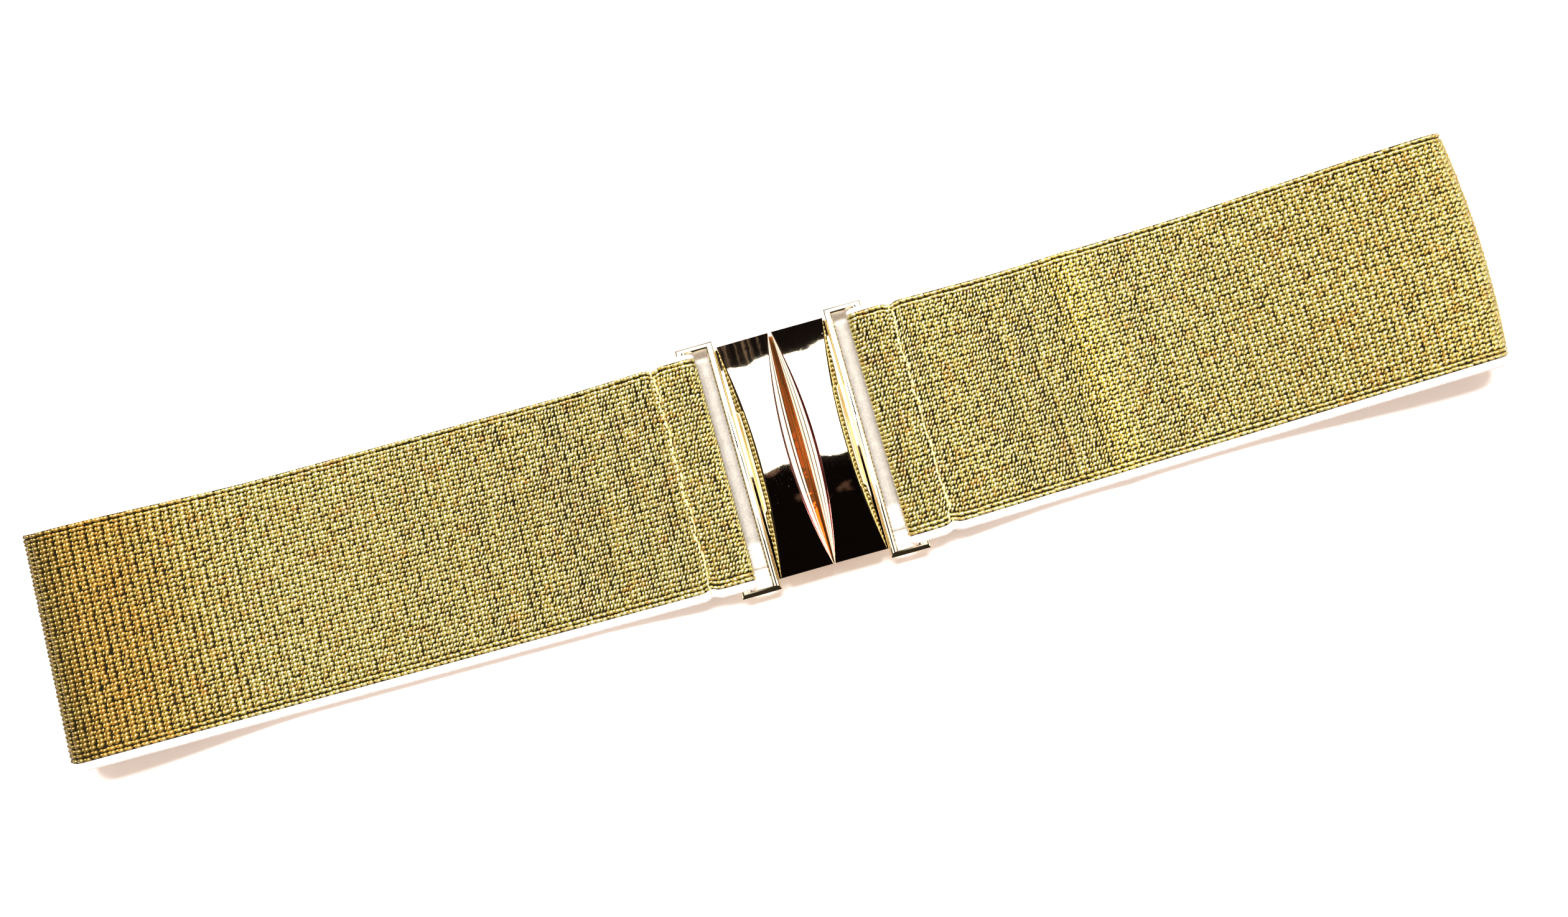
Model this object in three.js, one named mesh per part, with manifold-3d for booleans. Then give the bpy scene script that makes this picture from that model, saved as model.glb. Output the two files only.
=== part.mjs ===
// An elastic stretch belt, fastened and laid flat. The strap is one length of gold-faced elastic webbing, folded
// into a flat loop. Its two ends are turned round the bars of a two-part clasp that lies on top of the loop.
// Millimetres. +X runs along the belt, +Y across it, +Z up from the surface that it lies on.
import * as THREE from "three";
import { mergeVertices } from "three/addons/utils/BufferGeometryUtils.js";
import Module from "manifold-3d";

const wasm = await Module();
wasm.setup();

// Webbing
const strapWidth = 60;
const strapThickness = 1.6;
const edgeBevel = 0.4; // the rounding of both selvedges
const tailLength = 14; // the turned-back end, from the outside of its turn
const stitchInset = 11; // the stitch row, from the outside of the turn
const stitchNotch = 0.7; // how far the stitch row draws in each selvedge
const stitchNotchSpread = 1.3;

// The loop as it lies
const leftReach = 189.6; // from the clasp's seam to the outside of the left end fold
const rightReach = 170.4;
const foldHeight = 12; // outside height of the end folds
const leftFoldSlope = 52; // the length over which a fold's bulge dies out
const rightFoldSlope = 67;
const claspSlope = 38; // the length over which the front run comes down from the clasp
const frontDrift = 4.4; // how far the front run lies towards -Y at the clasp
const leftFoldDrift = 4; // the same where it meets the end folds, which carry it back over the back run
const rightFoldDrift = 2.7;
// Soft cross creases of the front runs: their place as a share of the run, their height and their spread
const creases = [{ side: 1, run: 0.37, height: 0.9, spread: 4.5 }];

// Clasp frames, measured along the belt from the seam between the two halves
const crossBarStart = 13.8;
const crossBarWidth = 2.05;
const slotLength = 5.25;
const hiddenBarWidth = 2.7;
const frameThickness = 2.2;
const armWidth = 1.5;

// Clasp plates
const plateLength = 58.5; // across the belt
const plateGroove = 0.6; // between a plate and its cross bar
const plateSlab = 1; // thickness of the slab under a plate
const plateRise = 3.7; // height of the bevelled part above the slab
const seamWaist = 3.55; // how far the seam-side edge draws back at mid length
const outerWaist = 2.8; // how far the outer edge draws in at mid length
const seamOpening = 0.5; // degrees by which the seam opens towards +Y

// Hidden hook and its pocket
const hookWidth = 18;
const hookThickness = 1.1;
const hookRoot = 6; // length of the hook's root under the left plate
const hookReach = 8.6; // from the seam to the hook's tip
const hookLip = 1.4;
const hookLipHeight = 2; // how far the lip stands into the pocket
const pocketEndWall = 1.4; // behind the lip

// Fits
const clearance = 0.3; // between neighbouring pieces, and between layers that rest on each other

// Heights that follow from the layers
const halfThickness = strapThickness / 2;
const backLevel = halfThickness; // middle of the webbing in the back run
const restLevel = backLevel + strapThickness + clearance; // middle of a layer that rests on the back run
const turnRadius = frameThickness / 2 + clearance + halfThickness; // of the webbing's middle, round a bar
const barLevel = restLevel + turnRadius; // middle of the clasp bars
const barBottom = barLevel - frameThickness / 2;
const frontLevel = barLevel + turnRadius;

// Lengths along the belt, from the seam
const hiddenBarStart = crossBarStart + crossBarWidth + slotLength;
const frameEnd = hiddenBarStart + hiddenBarWidth;
const turnCentre = hiddenBarStart + frameThickness / 2;
const plateStart = clearance / 2;
const plateEnd = crossBarStart - plateGroove;
const frameHalfLength = strapWidth / 2 + clearance + armWidth;

const radians = THREE.MathUtils.degToRad;
const lerp = THREE.MathUtils.lerp;
const ease = (share) => THREE.MathUtils.smoothstep(share, 0, 1);

/** Turns a geometry into a solid that can be joined and cut, with its faces pointing out. */
function solid(geometry) {
  const bare = geometry.clone();
  bare.deleteAttribute("normal");
  bare.deleteAttribute("uv");
  const merged = mergeVertices(bare, 1e-5);
  const vertProperties = new Float32Array(merged.attributes.position.array);
  const triVerts = new Uint32Array(merged.index.array);
  return new wasm.Manifold(new wasm.Mesh({ numProp: 3, vertProperties, triVerts }));
}

/** Turns a joined and cut solid back into a geometry. */
function geometryOf(manifold) {
  const mesh = manifold.getMesh();
  const geometry = new THREE.BufferGeometry();
  geometry.setAttribute("position", new THREE.BufferAttribute(new Float32Array(mesh.vertProperties), 3));
  geometry.setIndex(new THREE.BufferAttribute(new Uint32Array(mesh.triVerts), 1));
  geometry.computeVertexNormals();
  return geometry;
}

/** A closed body through convex rings of points that all run the same way round. */
function loft(rings) {
  const count = rings[0].length;
  const positions = rings.flat().flatMap((point) => [point.x, point.y, point.z]);
  const index = [];
  for (let ring = 0; ring < rings.length - 1; ring += 1) {
    for (let side = 0; side < count; side += 1) {
      const near = ring * count + side;
      const nearNext = ring * count + ((side + 1) % count);
      index.push(near, nearNext, nearNext + count, near, nearNext + count, near + count);
    }
  }
  const last = (rings.length - 1) * count;
  for (let side = 1; side < count - 1; side += 1) {
    index.push(0, side + 1, side);
    index.push(last, last + side, last + side + 1);
  }
  const geometry = new THREE.BufferGeometry();
  geometry.setAttribute("position", new THREE.Float32BufferAttribute(positions, 3));
  geometry.setIndex(signedVolume(positions, index) < 0 ? index.toReversed() : index);
  geometry.computeVertexNormals();
  return geometry;
}

/** Volume inside a closed set of triangles, negative where the faces point inwards. */
function signedVolume(positions, index) {
  const corner = (place) => new THREE.Vector3().fromArray(positions, 3 * index[place]);
  let volume = 0;
  for (let place = 0; place < index.length; place += 3) {
    volume += corner(place).dot(corner(place + 1).cross(corner(place + 2))) / 6;
  }
  return volume;
}

/** A box between two distances from the seam, on the given side of it, centred across the belt. */
function block(side, from, to, length, bottom, height) {
  const box = new THREE.BoxGeometry(to - from, length, height);
  return box.translate((side * (from + to)) / 2, 0, bottom + height / 2);
}

/** The hourglass plate: a straight base, and a top whose two long edges draw in along arcs. */
function platePlinth(side) {
  const sections = 28;
  const rings = [];
  for (let step = 0; step <= sections; step += 1) {
    const share = (2 * step) / sections - 1;
    const seamEdge = plateStart + arcRise(share, seamWaist);
    const outerEdge = plateEnd - arcRise(share, outerWaist);
    const y = (share * plateLength) / 2;
    const top = barBottom + plateSlab + plateRise;
    rings.push([
      new THREE.Vector3(side * plateStart, y, barBottom + plateSlab),
      new THREE.Vector3(side * plateEnd, y, barBottom + plateSlab),
      new THREE.Vector3(side * outerEdge, y, top),
      new THREE.Vector3(side * seamEdge, y, top),
    ]);
  }
  return loft(rings);
}

/** Height of a circular arc over its chord, which runs from share -1 to 1, with the given rise in the middle. */
function arcRise(share, rise) {
  const halfChord = plateLength / 2;
  const radius = (halfChord ** 2 + rise ** 2) / (2 * rise);
  return Math.sqrt(radius ** 2 - (share * halfChord) ** 2) - (radius - rise);
}

/** The bar inside the strap's turn: square outside, half round on the side that the webbing turns about. */
function hiddenBar(side) {
  const round = frameThickness / 2;
  const outline = new THREE.Shape();
  outline.moveTo(side * frameEnd, -round);
  outline.lineTo(side * frameEnd, round);
  outline.lineTo(side * turnCentre, round);
  outline.absarc(side * turnCentre, 0, round, Math.PI / 2, -Math.PI / 2, side > 0);
  outline.closePath();
  const bar = new THREE.ExtrudeGeometry(outline, { depth: 2 * frameHalfLength, bevelEnabled: false, curveSegments: 10 });
  return bar.rotateX(Math.PI / 2).translate(0, frameHalfLength, barLevel);
}

/** What both halves share: the slot frame, the slab and the hourglass plate, as one casting. */
function casting(side) {
  const frameLength = 2 * frameHalfLength;
  const crossBarEnd = crossBarStart + crossBarWidth;
  const outer = solid(block(side, crossBarStart, frameEnd - hiddenBarWidth / 2, frameLength, barBottom, frameThickness));
  const slotWidth = frameLength - 2 * armWidth;
  const slot = solid(block(side, crossBarEnd, frameEnd, slotWidth, barBottom - 1, frameThickness + 2));
  const slab = solid(block(side, plateStart, crossBarStart + crossBarWidth / 2, plateLength, barBottom, plateSlab));
  return outer.subtract(slot).add(solid(hiddenBar(side))).add(slab).add(solid(platePlinth(side)));
}

/** The half with the hook: a tongue that passes under the other plate and ends in an upright lip. */
function leftHalf() {
  const tongueTop = barBottom - clearance;
  const tongueBottom = tongueTop - hookThickness;
  const root = solid(block(1, -hookRoot, -plateStart, hookWidth, tongueBottom, barBottom + plateSlab / 2 - tongueBottom));
  const tongue = solid(block(1, -hookRoot, hookReach, hookWidth, tongueBottom, hookThickness));
  const lip = solid(block(1, hookReach - hookLip, hookReach, hookWidth, tongueBottom, hookLipHeight + barBottom - tongueBottom));
  return casting(-1).add(root).add(tongue).add(lip);
}

/** The half with the pocket: its catch face stands in front of the hook's lip. */
function rightHalf() {
  const openingShift = (plateLength / 2) * Math.tan(radians(seamOpening));
  const catchFace = hookReach - hookLip - clearance;
  const pocketEnd = Math.min(hookReach + clearance + openingShift, plateEnd - outerWaist - pocketEndWall);
  const pocketDepth = hookLipHeight + clearance;
  const pocket = block(1, catchFace - openingShift, pocketEnd, hookWidth + 4 * clearance, barBottom - 1, pocketDepth + 1);
  return casting(1).subtract(solid(pocket));
}

/** Places a half on the loop, turned about the -Y end of the seam so that the seam opens towards +Y. */
function onLoop(side) {
  const frame = new THREE.Group();
  const pivot = new THREE.Vector3(0, -plateLength / 2 - frontDrift, 0);
  frame.position.copy(pivot);
  frame.rotation.z = (-side * radians(seamOpening)) / 2;
  frame.updateMatrix();
  const inner = new THREE.Vector3(0, plateLength / 2, 0);
  return { frame, inner, turn: frame.rotation.z, at: (point) => point.clone().add(inner).applyMatrix4(frame.matrix) };
}

/** One end of the loop: where the webbing turns about its bar, and where it folds at the end of the loop. */
function endOf(side, place, reach, foldSlope, foldDrift) {
  const radius = (foldHeight - strapThickness) / 2;
  const turn = place.at(new THREE.Vector3(side * turnCentre, 0, 0));
  const fold = new THREE.Vector3(side * (reach - radius - halfThickness), -foldDrift, 0);
  const run = new THREE.Vector2(fold.x - turn.x, fold.y - turn.y);
  return {
    side,
    radius,
    turn,
    fold,
    foldSlope,
    foldTop: backLevel + 2 * radius,
    turnLean: place.turn,
    runLean: Math.atan2(side * run.y, side * run.x),
    runLength: run.length(),
  };
}

/** Height of the front run's middle, at a distance from the axis of the clasp bar. */
function frontHeight(end, distance) {
  const fromClasp = (frontLevel - restLevel) * (1 - ease(distance / claspSlope));
  const fromFold = (end.foldTop - restLevel) * ease(1 - (end.runLength - distance) / end.foldSlope);
  const crease = creases
    .filter((row) => row.side === end.side)
    .reduce((sum, row) => sum + row.height * bump(distance - row.run * end.runLength, row.spread), 0);
  return restLevel + fromClasp + fromFold + crease;
}

function bump(offset, spread) {
  return Math.exp(-((offset / spread) ** 2));
}

/** Height of the turned-back tail, which comes up to meet the front run at the stitch row. */
function tailHeight(end, distance) {
  const under = barLevel - turnRadius;
  const sewn = frontHeight(end, distance) - strapThickness - clearance;
  const pastBar = frameEnd - turnCentre + clearance;
  const stitchRow = stitchInset - turnRadius - halfThickness;
  return lerp(under, sewn, ease((distance - pastBar) / (stitchRow - pastBar)));
}

/** How far each selvedge is drawn in by the stitch row, at a distance from the bar's axis. */
function notchAt(distance) {
  return stitchNotch * bump(distance + turnRadius + halfThickness - stitchInset, stitchNotchSpread);
}

/** How far the cross direction leans in the front run: with the bar, then the run, and straight at the fold. */
function frontLean(end, distance) {
  const share = distance / end.runLength;
  const leaving = lerp(end.turnLean, end.runLean, ease(share / 0.15));
  return lerp(leaving, 0, ease((share - 0.6) / 0.4));
}

/** Stations from the end of a tail to the top of its end fold: place, direction in the XZ plane, lean and notch. */
function frontStations(end) {
  const stations = [];
  const alongRun = (distance, z, lean, notch) => {
    const share = distance / end.runLength;
    const plan = new THREE.Vector2(lerp(end.turn.x, end.fold.x, share), lerp(end.turn.y, end.fold.y, share));
    return { x: plan.x, y: plan.y, z, lean, notch };
  };
  const tailEnd = tailLength - turnRadius - halfThickness;
  const tailSteps = 8;
  for (let step = 0; step < tailSteps; step += 1) {
    const distance = tailEnd * (1 - step / tailSteps);
    stations.push(alongRun(distance, tailHeight(end, distance), end.turnLean, notchAt(distance)));
  }
  const turnSteps = 10;
  for (let step = 0; step < turnSteps; step += 1) {
    const angle = -Math.PI / 2 + (Math.PI * step) / turnSteps;
    stations.push({
      x: end.turn.x - end.side * turnRadius * Math.cos(angle),
      y: end.turn.y,
      z: barLevel + turnRadius * Math.sin(angle),
      lean: end.turnLean,
      notch: 0,
    });
  }
  const runStep = 2.5;
  const runSteps = Math.round(end.runLength / runStep);
  for (let step = 0; step < runSteps; step += 1) {
    const distance = (end.runLength * step) / runSteps;
    stations.push(alongRun(distance, frontHeight(end, distance), frontLean(end, distance), notchAt(distance)));
  }
  const foldSteps = 14;
  for (let step = 0; step < foldSteps; step += 1) {
    const angle = Math.PI / 2 - (Math.PI * step) / foldSteps;
    stations.push({
      x: end.fold.x + end.side * end.radius * Math.cos(angle),
      y: (end.fold.y * (1 + Math.sin(angle))) / 2,
      z: backLevel + end.radius + end.radius * Math.sin(angle),
      lean: 0,
      notch: 0,
    });
  }
  return stations;
}

/** Stations of the back run, from the left fold to the right fold. */
function backStations(left, right) {
  const steps = 40;
  const stations = [];
  for (let step = 0; step <= steps; step += 1) {
    const share = step / steps;
    stations.push({ x: lerp(left.fold.x, right.fold.x, share), y: 0, z: backLevel, lean: 0, notch: 0 });
  }
  return stations;
}

/** The webbing's section at a station, with bevelled selvedges. */
function strapSection(stations, place) {
  const here = stations[place];
  const before = stations[Math.max(place - 1, 0)];
  const after = stations[Math.min(place + 1, stations.length - 1)];
  const along = new THREE.Vector3(after.x - before.x, 0, after.z - before.z).normalize();
  const up = new THREE.Vector3(-along.z, 0, along.x);
  const across = new THREE.Vector3(-Math.sin(here.lean), Math.cos(here.lean), 0);
  const reach = strapWidth / 2 - here.notch;
  const corners = [
    [reach, halfThickness - edgeBevel],
    [reach - edgeBevel, halfThickness],
    [-reach + edgeBevel, halfThickness],
    [-reach, halfThickness - edgeBevel],
    [-reach, edgeBevel - halfThickness],
    [-reach + edgeBevel, -halfThickness],
    [reach - edgeBevel, -halfThickness],
    [reach, edgeBevel - halfThickness],
  ];
  const middle = new THREE.Vector3(here.x, here.y, here.z);
  return corners.map(([side, height]) => middle.clone().addScaledVector(across, side).addScaledVector(up, height));
}

/** The whole strap: left tail, front run, left fold, back run, right fold, front run and right tail. */
function strap(left, right) {
  const stations = [...frontStations(left), ...backStations(left, right), ...frontStations(right).reverse()];
  return loft(stations.map((_, place) => strapSection(stations, place)));
}

/** A named piece with its own material. */
function piece(name, geometry, colour, roughness, metalness) {
  const material = new THREE.MeshStandardMaterial({ color: colour, roughness, metalness });
  const mesh = new THREE.Mesh(geometry, material);
  mesh.name = name;
  return mesh;
}

const leftPlace = onLoop(-1);
const rightPlace = onLoop(1);
const leftEnd = endOf(-1, leftPlace, leftReach, leftFoldSlope, leftFoldDrift);
const rightEnd = endOf(1, rightPlace, rightReach, rightFoldSlope, rightFoldDrift);

const leftMesh = piece("left_clasp_half", geometryOf(leftHalf()), 0xe9d3a4, 0.08, 1);
leftMesh.position.copy(leftPlace.inner);
leftPlace.frame.add(leftMesh);

const rightMesh = piece("right_clasp_half", geometryOf(rightHalf()), 0xe9d3a4, 0.08, 1);
rightMesh.position.copy(rightPlace.inner);
rightPlace.frame.add(rightMesh);

const belt = new THREE.Group();
belt.add(piece("elastic_strap", strap(leftEnd, rightEnd), 0xb39a3f, 0.5, 0.5), leftPlace.frame, rightPlace.frame);

// The origin is at the middle of the belt's box, on the surface that it lies on.
const box = new THREE.Box3().setFromObject(belt, true);
belt.position.set(-(box.min.x + box.max.x) / 2, -(box.min.y + box.max.y) / 2, -box.min.z);
belt.updateMatrixWorld(true);

export default belt;
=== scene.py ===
"""Visual model of an elastic stretch belt: gold-faced webbing in a flat loop, closed by a two-part clasp.

It is laid out as an add-on and run as a script. Metres, in the frame of the packed model: +X runs along the
belt, +Y across it and +Z up from the surface that it lies on.
"""

import math

import bmesh
import bpy
import numpy as np
from bpy.props import FloatProperty, FloatVectorProperty, IntProperty, PointerProperty
from mathutils import Matrix, Vector


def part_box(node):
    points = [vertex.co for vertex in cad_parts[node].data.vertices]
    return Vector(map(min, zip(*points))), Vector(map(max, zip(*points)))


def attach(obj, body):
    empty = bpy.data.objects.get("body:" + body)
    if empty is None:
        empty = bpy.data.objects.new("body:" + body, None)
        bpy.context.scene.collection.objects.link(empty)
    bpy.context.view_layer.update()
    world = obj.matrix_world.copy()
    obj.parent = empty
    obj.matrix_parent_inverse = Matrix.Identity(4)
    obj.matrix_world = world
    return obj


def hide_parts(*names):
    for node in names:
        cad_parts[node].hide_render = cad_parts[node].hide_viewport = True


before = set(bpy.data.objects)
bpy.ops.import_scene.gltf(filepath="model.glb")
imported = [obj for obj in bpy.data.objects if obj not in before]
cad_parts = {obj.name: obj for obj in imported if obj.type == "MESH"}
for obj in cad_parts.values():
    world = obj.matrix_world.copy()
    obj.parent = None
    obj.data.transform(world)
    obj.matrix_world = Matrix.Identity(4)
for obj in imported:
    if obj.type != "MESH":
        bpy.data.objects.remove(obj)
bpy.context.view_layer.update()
STRAP_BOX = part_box("elastic_strap")

bl_info = {
    "name": "Stretch Belt",
    "version": (1, 0, 0),
    "blender": (4, 5, 0),
    "location": "View3D > Sidebar > Stretch Belt",
    "description": "Builds a gold-faced stretch belt with a two-part clasp, lying flat in a small studio",
    "category": "Add Mesh",
}


MM = 0.001

# Seeds of the random draws: the gold threads, the selvedges' fuzz and the stitches
WEAVE_SEED = 7
FUZZ_SEED = 23
STITCH_SEED = 24

# Columns of a station on the webbing's path, and the parts of the path that the last column names
X, Y, Z, LEAN, DISTANCE, PART = range(6)
TAIL, TURN, FRONT, FOLD, BACK = range(5)

# Kinds of face, in the order of a piece's materials: on the webbing, and on the clasp
INNER, SELVEDGE, GROUND = range(3)
# On the clasp, rose and olive are painted reflection, deep gold is painted shade and reflection, pale is the
# plating
PALE, ROSE, DEEP, OLIVE = range(4)


def length(name, description, default):
    """A length that a user may change, in metres."""
    return FloatProperty(name=name, description=description, default=default, unit="LENGTH", precision=5)


def angle(name, description, degrees):
    """An angle that a user may change, given in degrees."""
    return FloatProperty(name=name, description=description, default=math.radians(degrees), subtype="ANGLE")


def colour(name, description, default):
    """A colour that a user may change."""
    return FloatVectorProperty(
        name=name, description=description, default=default, size=3, min=0.0, max=1.0, subtype="COLOR"
    )


class WebbingSizes(bpy.types.PropertyGroup):
    """The webbing's section and the way it is sewn round the clasp bars."""

    width: length("Width", "Width of the webbing with its selvedges", 60 * MM)
    thickness: length("Thickness", "Thickness over the threads", 1.6 * MM)
    far_selvedge: length("Far selvedge", "Width of the white selvedge on the +Y side", 1.3 * MM)
    near_selvedge: length("Near selvedge", "Width of the white selvedge on the -Y side", 2.1 * MM)
    ground: length("Ground depth", "How far the ground under the gold threads lies below the face", 0.42 * MM)
    rib: length("Rib", "Height of the ribs on the inner face", 0.07 * MM)
    rib_pitch: length("Rib pitch", "Distance between the ribs along the belt", 0.86 * MM)
    tail: length("Tail", "Length of the turned-back end, from the outside of its turn", 14 * MM)
    stitch_inset: length("Stitch inset", "The stitch row's distance from the outside of the turn", 11 * MM)
    stitch_notch: length("Stitch notch", "How far the stitch row draws in each selvedge", 0.7 * MM)
    stitch_spread: length("Notch spread", "Length of the notch along the belt", 1.3 * MM)
    stitch: length("Stitch", "Length of one stitch", 2.3 * MM)


class LoopSizes(bpy.types.PropertyGroup):
    """The loop as it lies."""

    left_reach: length("Left reach", "From the clasp's seam to the outside of the left fold", 189.6 * MM)
    right_reach: length("Right reach", "From the clasp's seam to the outside of the right fold", 170.4 * MM)
    fold_height: length("Fold height", "Outside height of the end folds", 12 * MM)
    left_slope: length("Left slope", "Length over which the left fold's bulge dies out", 52 * MM)
    right_slope: length("Right slope", "Length over which the right fold's bulge dies out", 67 * MM)
    clasp_slope: length("Clasp slope", "Length over which the front comes down from the clasp", 38 * MM)
    drift: length("Drift", "How far the front lies towards -Y at the clasp", 4.4 * MM)
    left_drift: length("Left drift", "The same at the left fold", 3.2 * MM)
    right_drift: length("Right drift", "The same at the right fold", 1.6 * MM)
    left_give: length("Left give", "How far the left fold has slipped outwards", 0.6 * MM)
    right_give: length("Right give", "The same at the right fold", 0.35 * MM)
    right_skew: length("Right skew", "How much further the right fold reaches on the +Y side", 0.85 * MM)
    right_bow: length("Right bow", "How far the right fold bows outwards in the middle", 2.0 * MM)
    bow_length: length("Bow length", "Length of webbing over which the folds' shape dies out", 45 * MM)
    crease_height: length("Crease height", "Height of the soft cross crease in the right run", 0.9 * MM)
    crease_spread: length("Crease spread", "Half width of that crease", 4.5 * MM)
    crease_place: FloatProperty(
        name="Crease place", description="Its place as a share of the run", default=0.37, min=0, max=1
    )


class ClaspSizes(bpy.types.PropertyGroup):
    """The clasp halves, measured along the belt from the seam between them."""

    bar_start: length("Cross bar start", "Seam side of the cross bar", 13.8 * MM)
    bar_width: length("Cross bar width", "Width of the cross bar", 2.05 * MM)
    slot: length("Slot", "Length of the slot along the belt", 5.25 * MM)
    hidden_bar: length("Hidden bar", "Width of the bar inside the strap's turn", 2.7 * MM)
    frame_thickness: length("Frame thickness", "Thickness of the slot frame", 2.2 * MM)
    arm_width: length("Arm width", "Width of the frame's arms", 1.5 * MM)
    plate_length: length("Plate length", "Length of the hourglass plate across the belt", 58.5 * MM)
    plate_groove: length("Plate groove", "Gap between the plate and its cross bar", 0.6 * MM)
    plate_slab: length("Plate slab", "Thickness of the slab under the plate", 1 * MM)
    plate_rise: length("Plate rise", "Height of the bevelled part above the slab", 3.7 * MM)
    seam_waist: length("Seam waist", "How far the seam edge draws back at mid length", 3.55 * MM)
    outer_waist: length("Outer waist", "How far the outer edge draws in at mid length", 2.8 * MM)
    seam_opening: angle("Seam opening", "Angle by which the seam opens towards +Y", 0.5)
    clearance: length("Clearance", "Gap between neighbouring pieces", 0.3 * MM)
    edge: length("Edge", "Rounding of the frame's and plates' edges", 0.1 * MM)
    # The lip under the seam is a dark piece that stands for the shade in the seam
    lip: length("Seam lip", "How far the lip under the seam reaches to either side of it", 0.9 * MM)
    lip_rise: length("Seam lip rise", "How much higher the lip is on the left half's side", 0.9 * MM)
    hook_width: length("Hook width", "Width of the hidden hook", 18 * MM)
    hook_thickness: length("Hook thickness", "Thickness of the hook's tongue", 1.1 * MM)
    hook_root: length("Hook root", "Length of the hook's root under the left plate", 6 * MM)
    hook_reach: length("Hook reach", "From the seam to the hook's tip", 8.6 * MM)


class WeaveSizes(bpy.types.PropertyGroup):
    """The gold threads that lie on the webbing's outer face."""

    pitch: length("Pitch", "Distance between the columns of floats along the belt", 1.7 * MM)
    rows: IntProperty(name="Rows", description="Rows of floats across the belt", default=51, min=3)
    float_length: length("Float length", "Length of one float", 1.75 * MM)
    float_width: length("Float width", "Width of one float", 1.05 * MM)
    float_height: length("Float height", "Height of one float above the ground", 0.5 * MM)
    slant: angle("Slant", "Slant of the floats to the belt", 39)
    strand_length: length("Strand length", "Length of a fine strand between the floats", 1.1 * MM)
    strand_width: length("Strand width", "Width of a fine strand", 0.58 * MM)
    strand_height: length("Strand height", "Height of a fine strand above the ground", 0.38 * MM)
    strand_slant: angle("Strand slant", "Slant of the fine strands", 64)
    edge_rows: IntProperty(name="Edge rows", description="Straight rows beside a selvedge", default=2)


class Finishes(bpy.types.PropertyGroup):
    """Colours of the belt."""

    gold_thread: colour("Gold thread", "The metallic thread's usual colour", (0.59, 0.5, 0.12))
    # Painted highlight on the threads' tops
    thread_highlight: colour("Pale thread", "The worn, bright tops of the threads", (0.775, 0.775, 0.645))
    # Painted highlight: the brighter gold of the threads along the soft crease
    crease_highlight: colour("Bright thread", "Thread where the webbing is creased", (0.9, 0.68, 0.09))
    # Painted reflection: the warm brown that the threads get near the folds
    reflected_brown: colour("Brown thread", "The brownest threads", (0.54, 0.3, 0.04))
    # Painted shade on the threads' edges
    thread_edge: colour("Thread edge", "The shaded edges of the threads", (0.13, 0.1, 0.018))
    # Painted shade: the ground is nearly black to stand for the shade between the threads
    ground: colour("Ground", "The woven ground between the threads", (0.004, 0.003, 0.001))
    selvedge: colour("Selvedge", "The white selvedges", (0.86, 0.85, 0.83))
    # Partly painted shade: the cream face is made grey so that it reads as shaded under the clasp and the
    # front run
    inner: colour("Inner face", "The ribbed inner face", (0.5, 0.46, 0.41))
    stitches: colour("Stitches", "The stitch rows", (0.85, 0.74, 0.36))
    plating: colour("Plating", "The plating of the clasp", (0.97, 0.84, 0.62))
    # Painted reflection in rose and olive on the seam steps; deep gold is painted shade and reflection deep
    # in the seam
    rose: colour("Rose painted reflection", "The rose line along each plate's seam edge", (0.2, 0.07, 0.09))
    deep: colour("Deep gold shade and reflection", "The steps deep in the seam", (0.52, 0.22, 0.055))
    olive: colour("Olive painted reflection", "The fine lines between those steps", (0.2, 0.17, 0.06))


class StudioSettings(bpy.types.PropertyGroup):
    """The floor, the lights and the camera."""

    floor: colour("Floor", "The floor's colour", (0.93, 0.93, 0.93))
    sky: colour("Room light", "Colour of the light from all round", (1.0, 0.81, 0.68))
    sky_strength: FloatProperty(name="Room strength", description="Strength of that light", default=0.8)
    key_strength: FloatProperty(
        name="Key strength", description="Power of the key light", default=32.0, unit="POWER"
    )
    camera_height: length("Camera height", "The camera's height over the surface", 283.8 * MM)
    camera_x: length("Camera X", "Its place along the belt, from the clasp's seam", -4.73 * MM)
    camera_y: length("Camera Y", "Its place across the belt, from the back run's middle", -31.7 * MM)
    tilt: angle("Tilt", "Tilt of the view towards +Y", 5.128)
    pan: angle("Pan", "Turn of the view", 1.467)
    roll: angle("Roll", "Turn of the belt in the picture", 15.748)
    lens: FloatProperty(
        name="Lens", description="Focal length on a 36 mm sensor", default=26.19, unit="CAMERA"
    )


GROUPS = {
    "belt_webbing": WebbingSizes,
    "belt_loop": LoopSizes,
    "belt_clasp": ClaspSizes,
    "belt_weave": WeaveSizes,
    "belt_finishes": Finishes,
    "belt_studio": StudioSettings,
}


def settings(context):
    """All property groups of the scene, by short name."""
    return {name.removeprefix("belt_"): getattr(context.scene, name) for name in GROUPS}


def ease(share):
    """Smooth step from 0 to 1."""
    share = np.clip(share, 0.0, 1.0)
    return share * share * (3.0 - 2.0 * share)


def bump(offset, spread):
    """Bell curve of height 1."""
    return np.exp(-((offset / spread) ** 2))


def origin_shift(groups):
    """Where the point below the clasp's seam, in mid width of the back run, lies in the packed model."""
    low, high = STRAP_BOX
    return np.array([low[0] + groups["loop"].left_reach, high[1] - groups["webbing"].width / 2, 0.0])


def on_clasp(groups, side, points):
    """Moves points of a clasp half onto the loop. The halves are turned about the seam's -Y end."""
    clasp, loop = groups["clasp"], groups["loop"]
    turn = -side * clasp.seam_opening / 2
    half = clasp.plate_length / 2
    points = np.asarray(points, float)
    across = points[:, 1] + half
    return np.column_stack(
        [
            points[:, 0] * math.cos(turn) - across * math.sin(turn),
            points[:, 0] * math.sin(turn) + across * math.cos(turn) - half - loop.drift,
            points[:, 2],
        ]
    )


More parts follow.
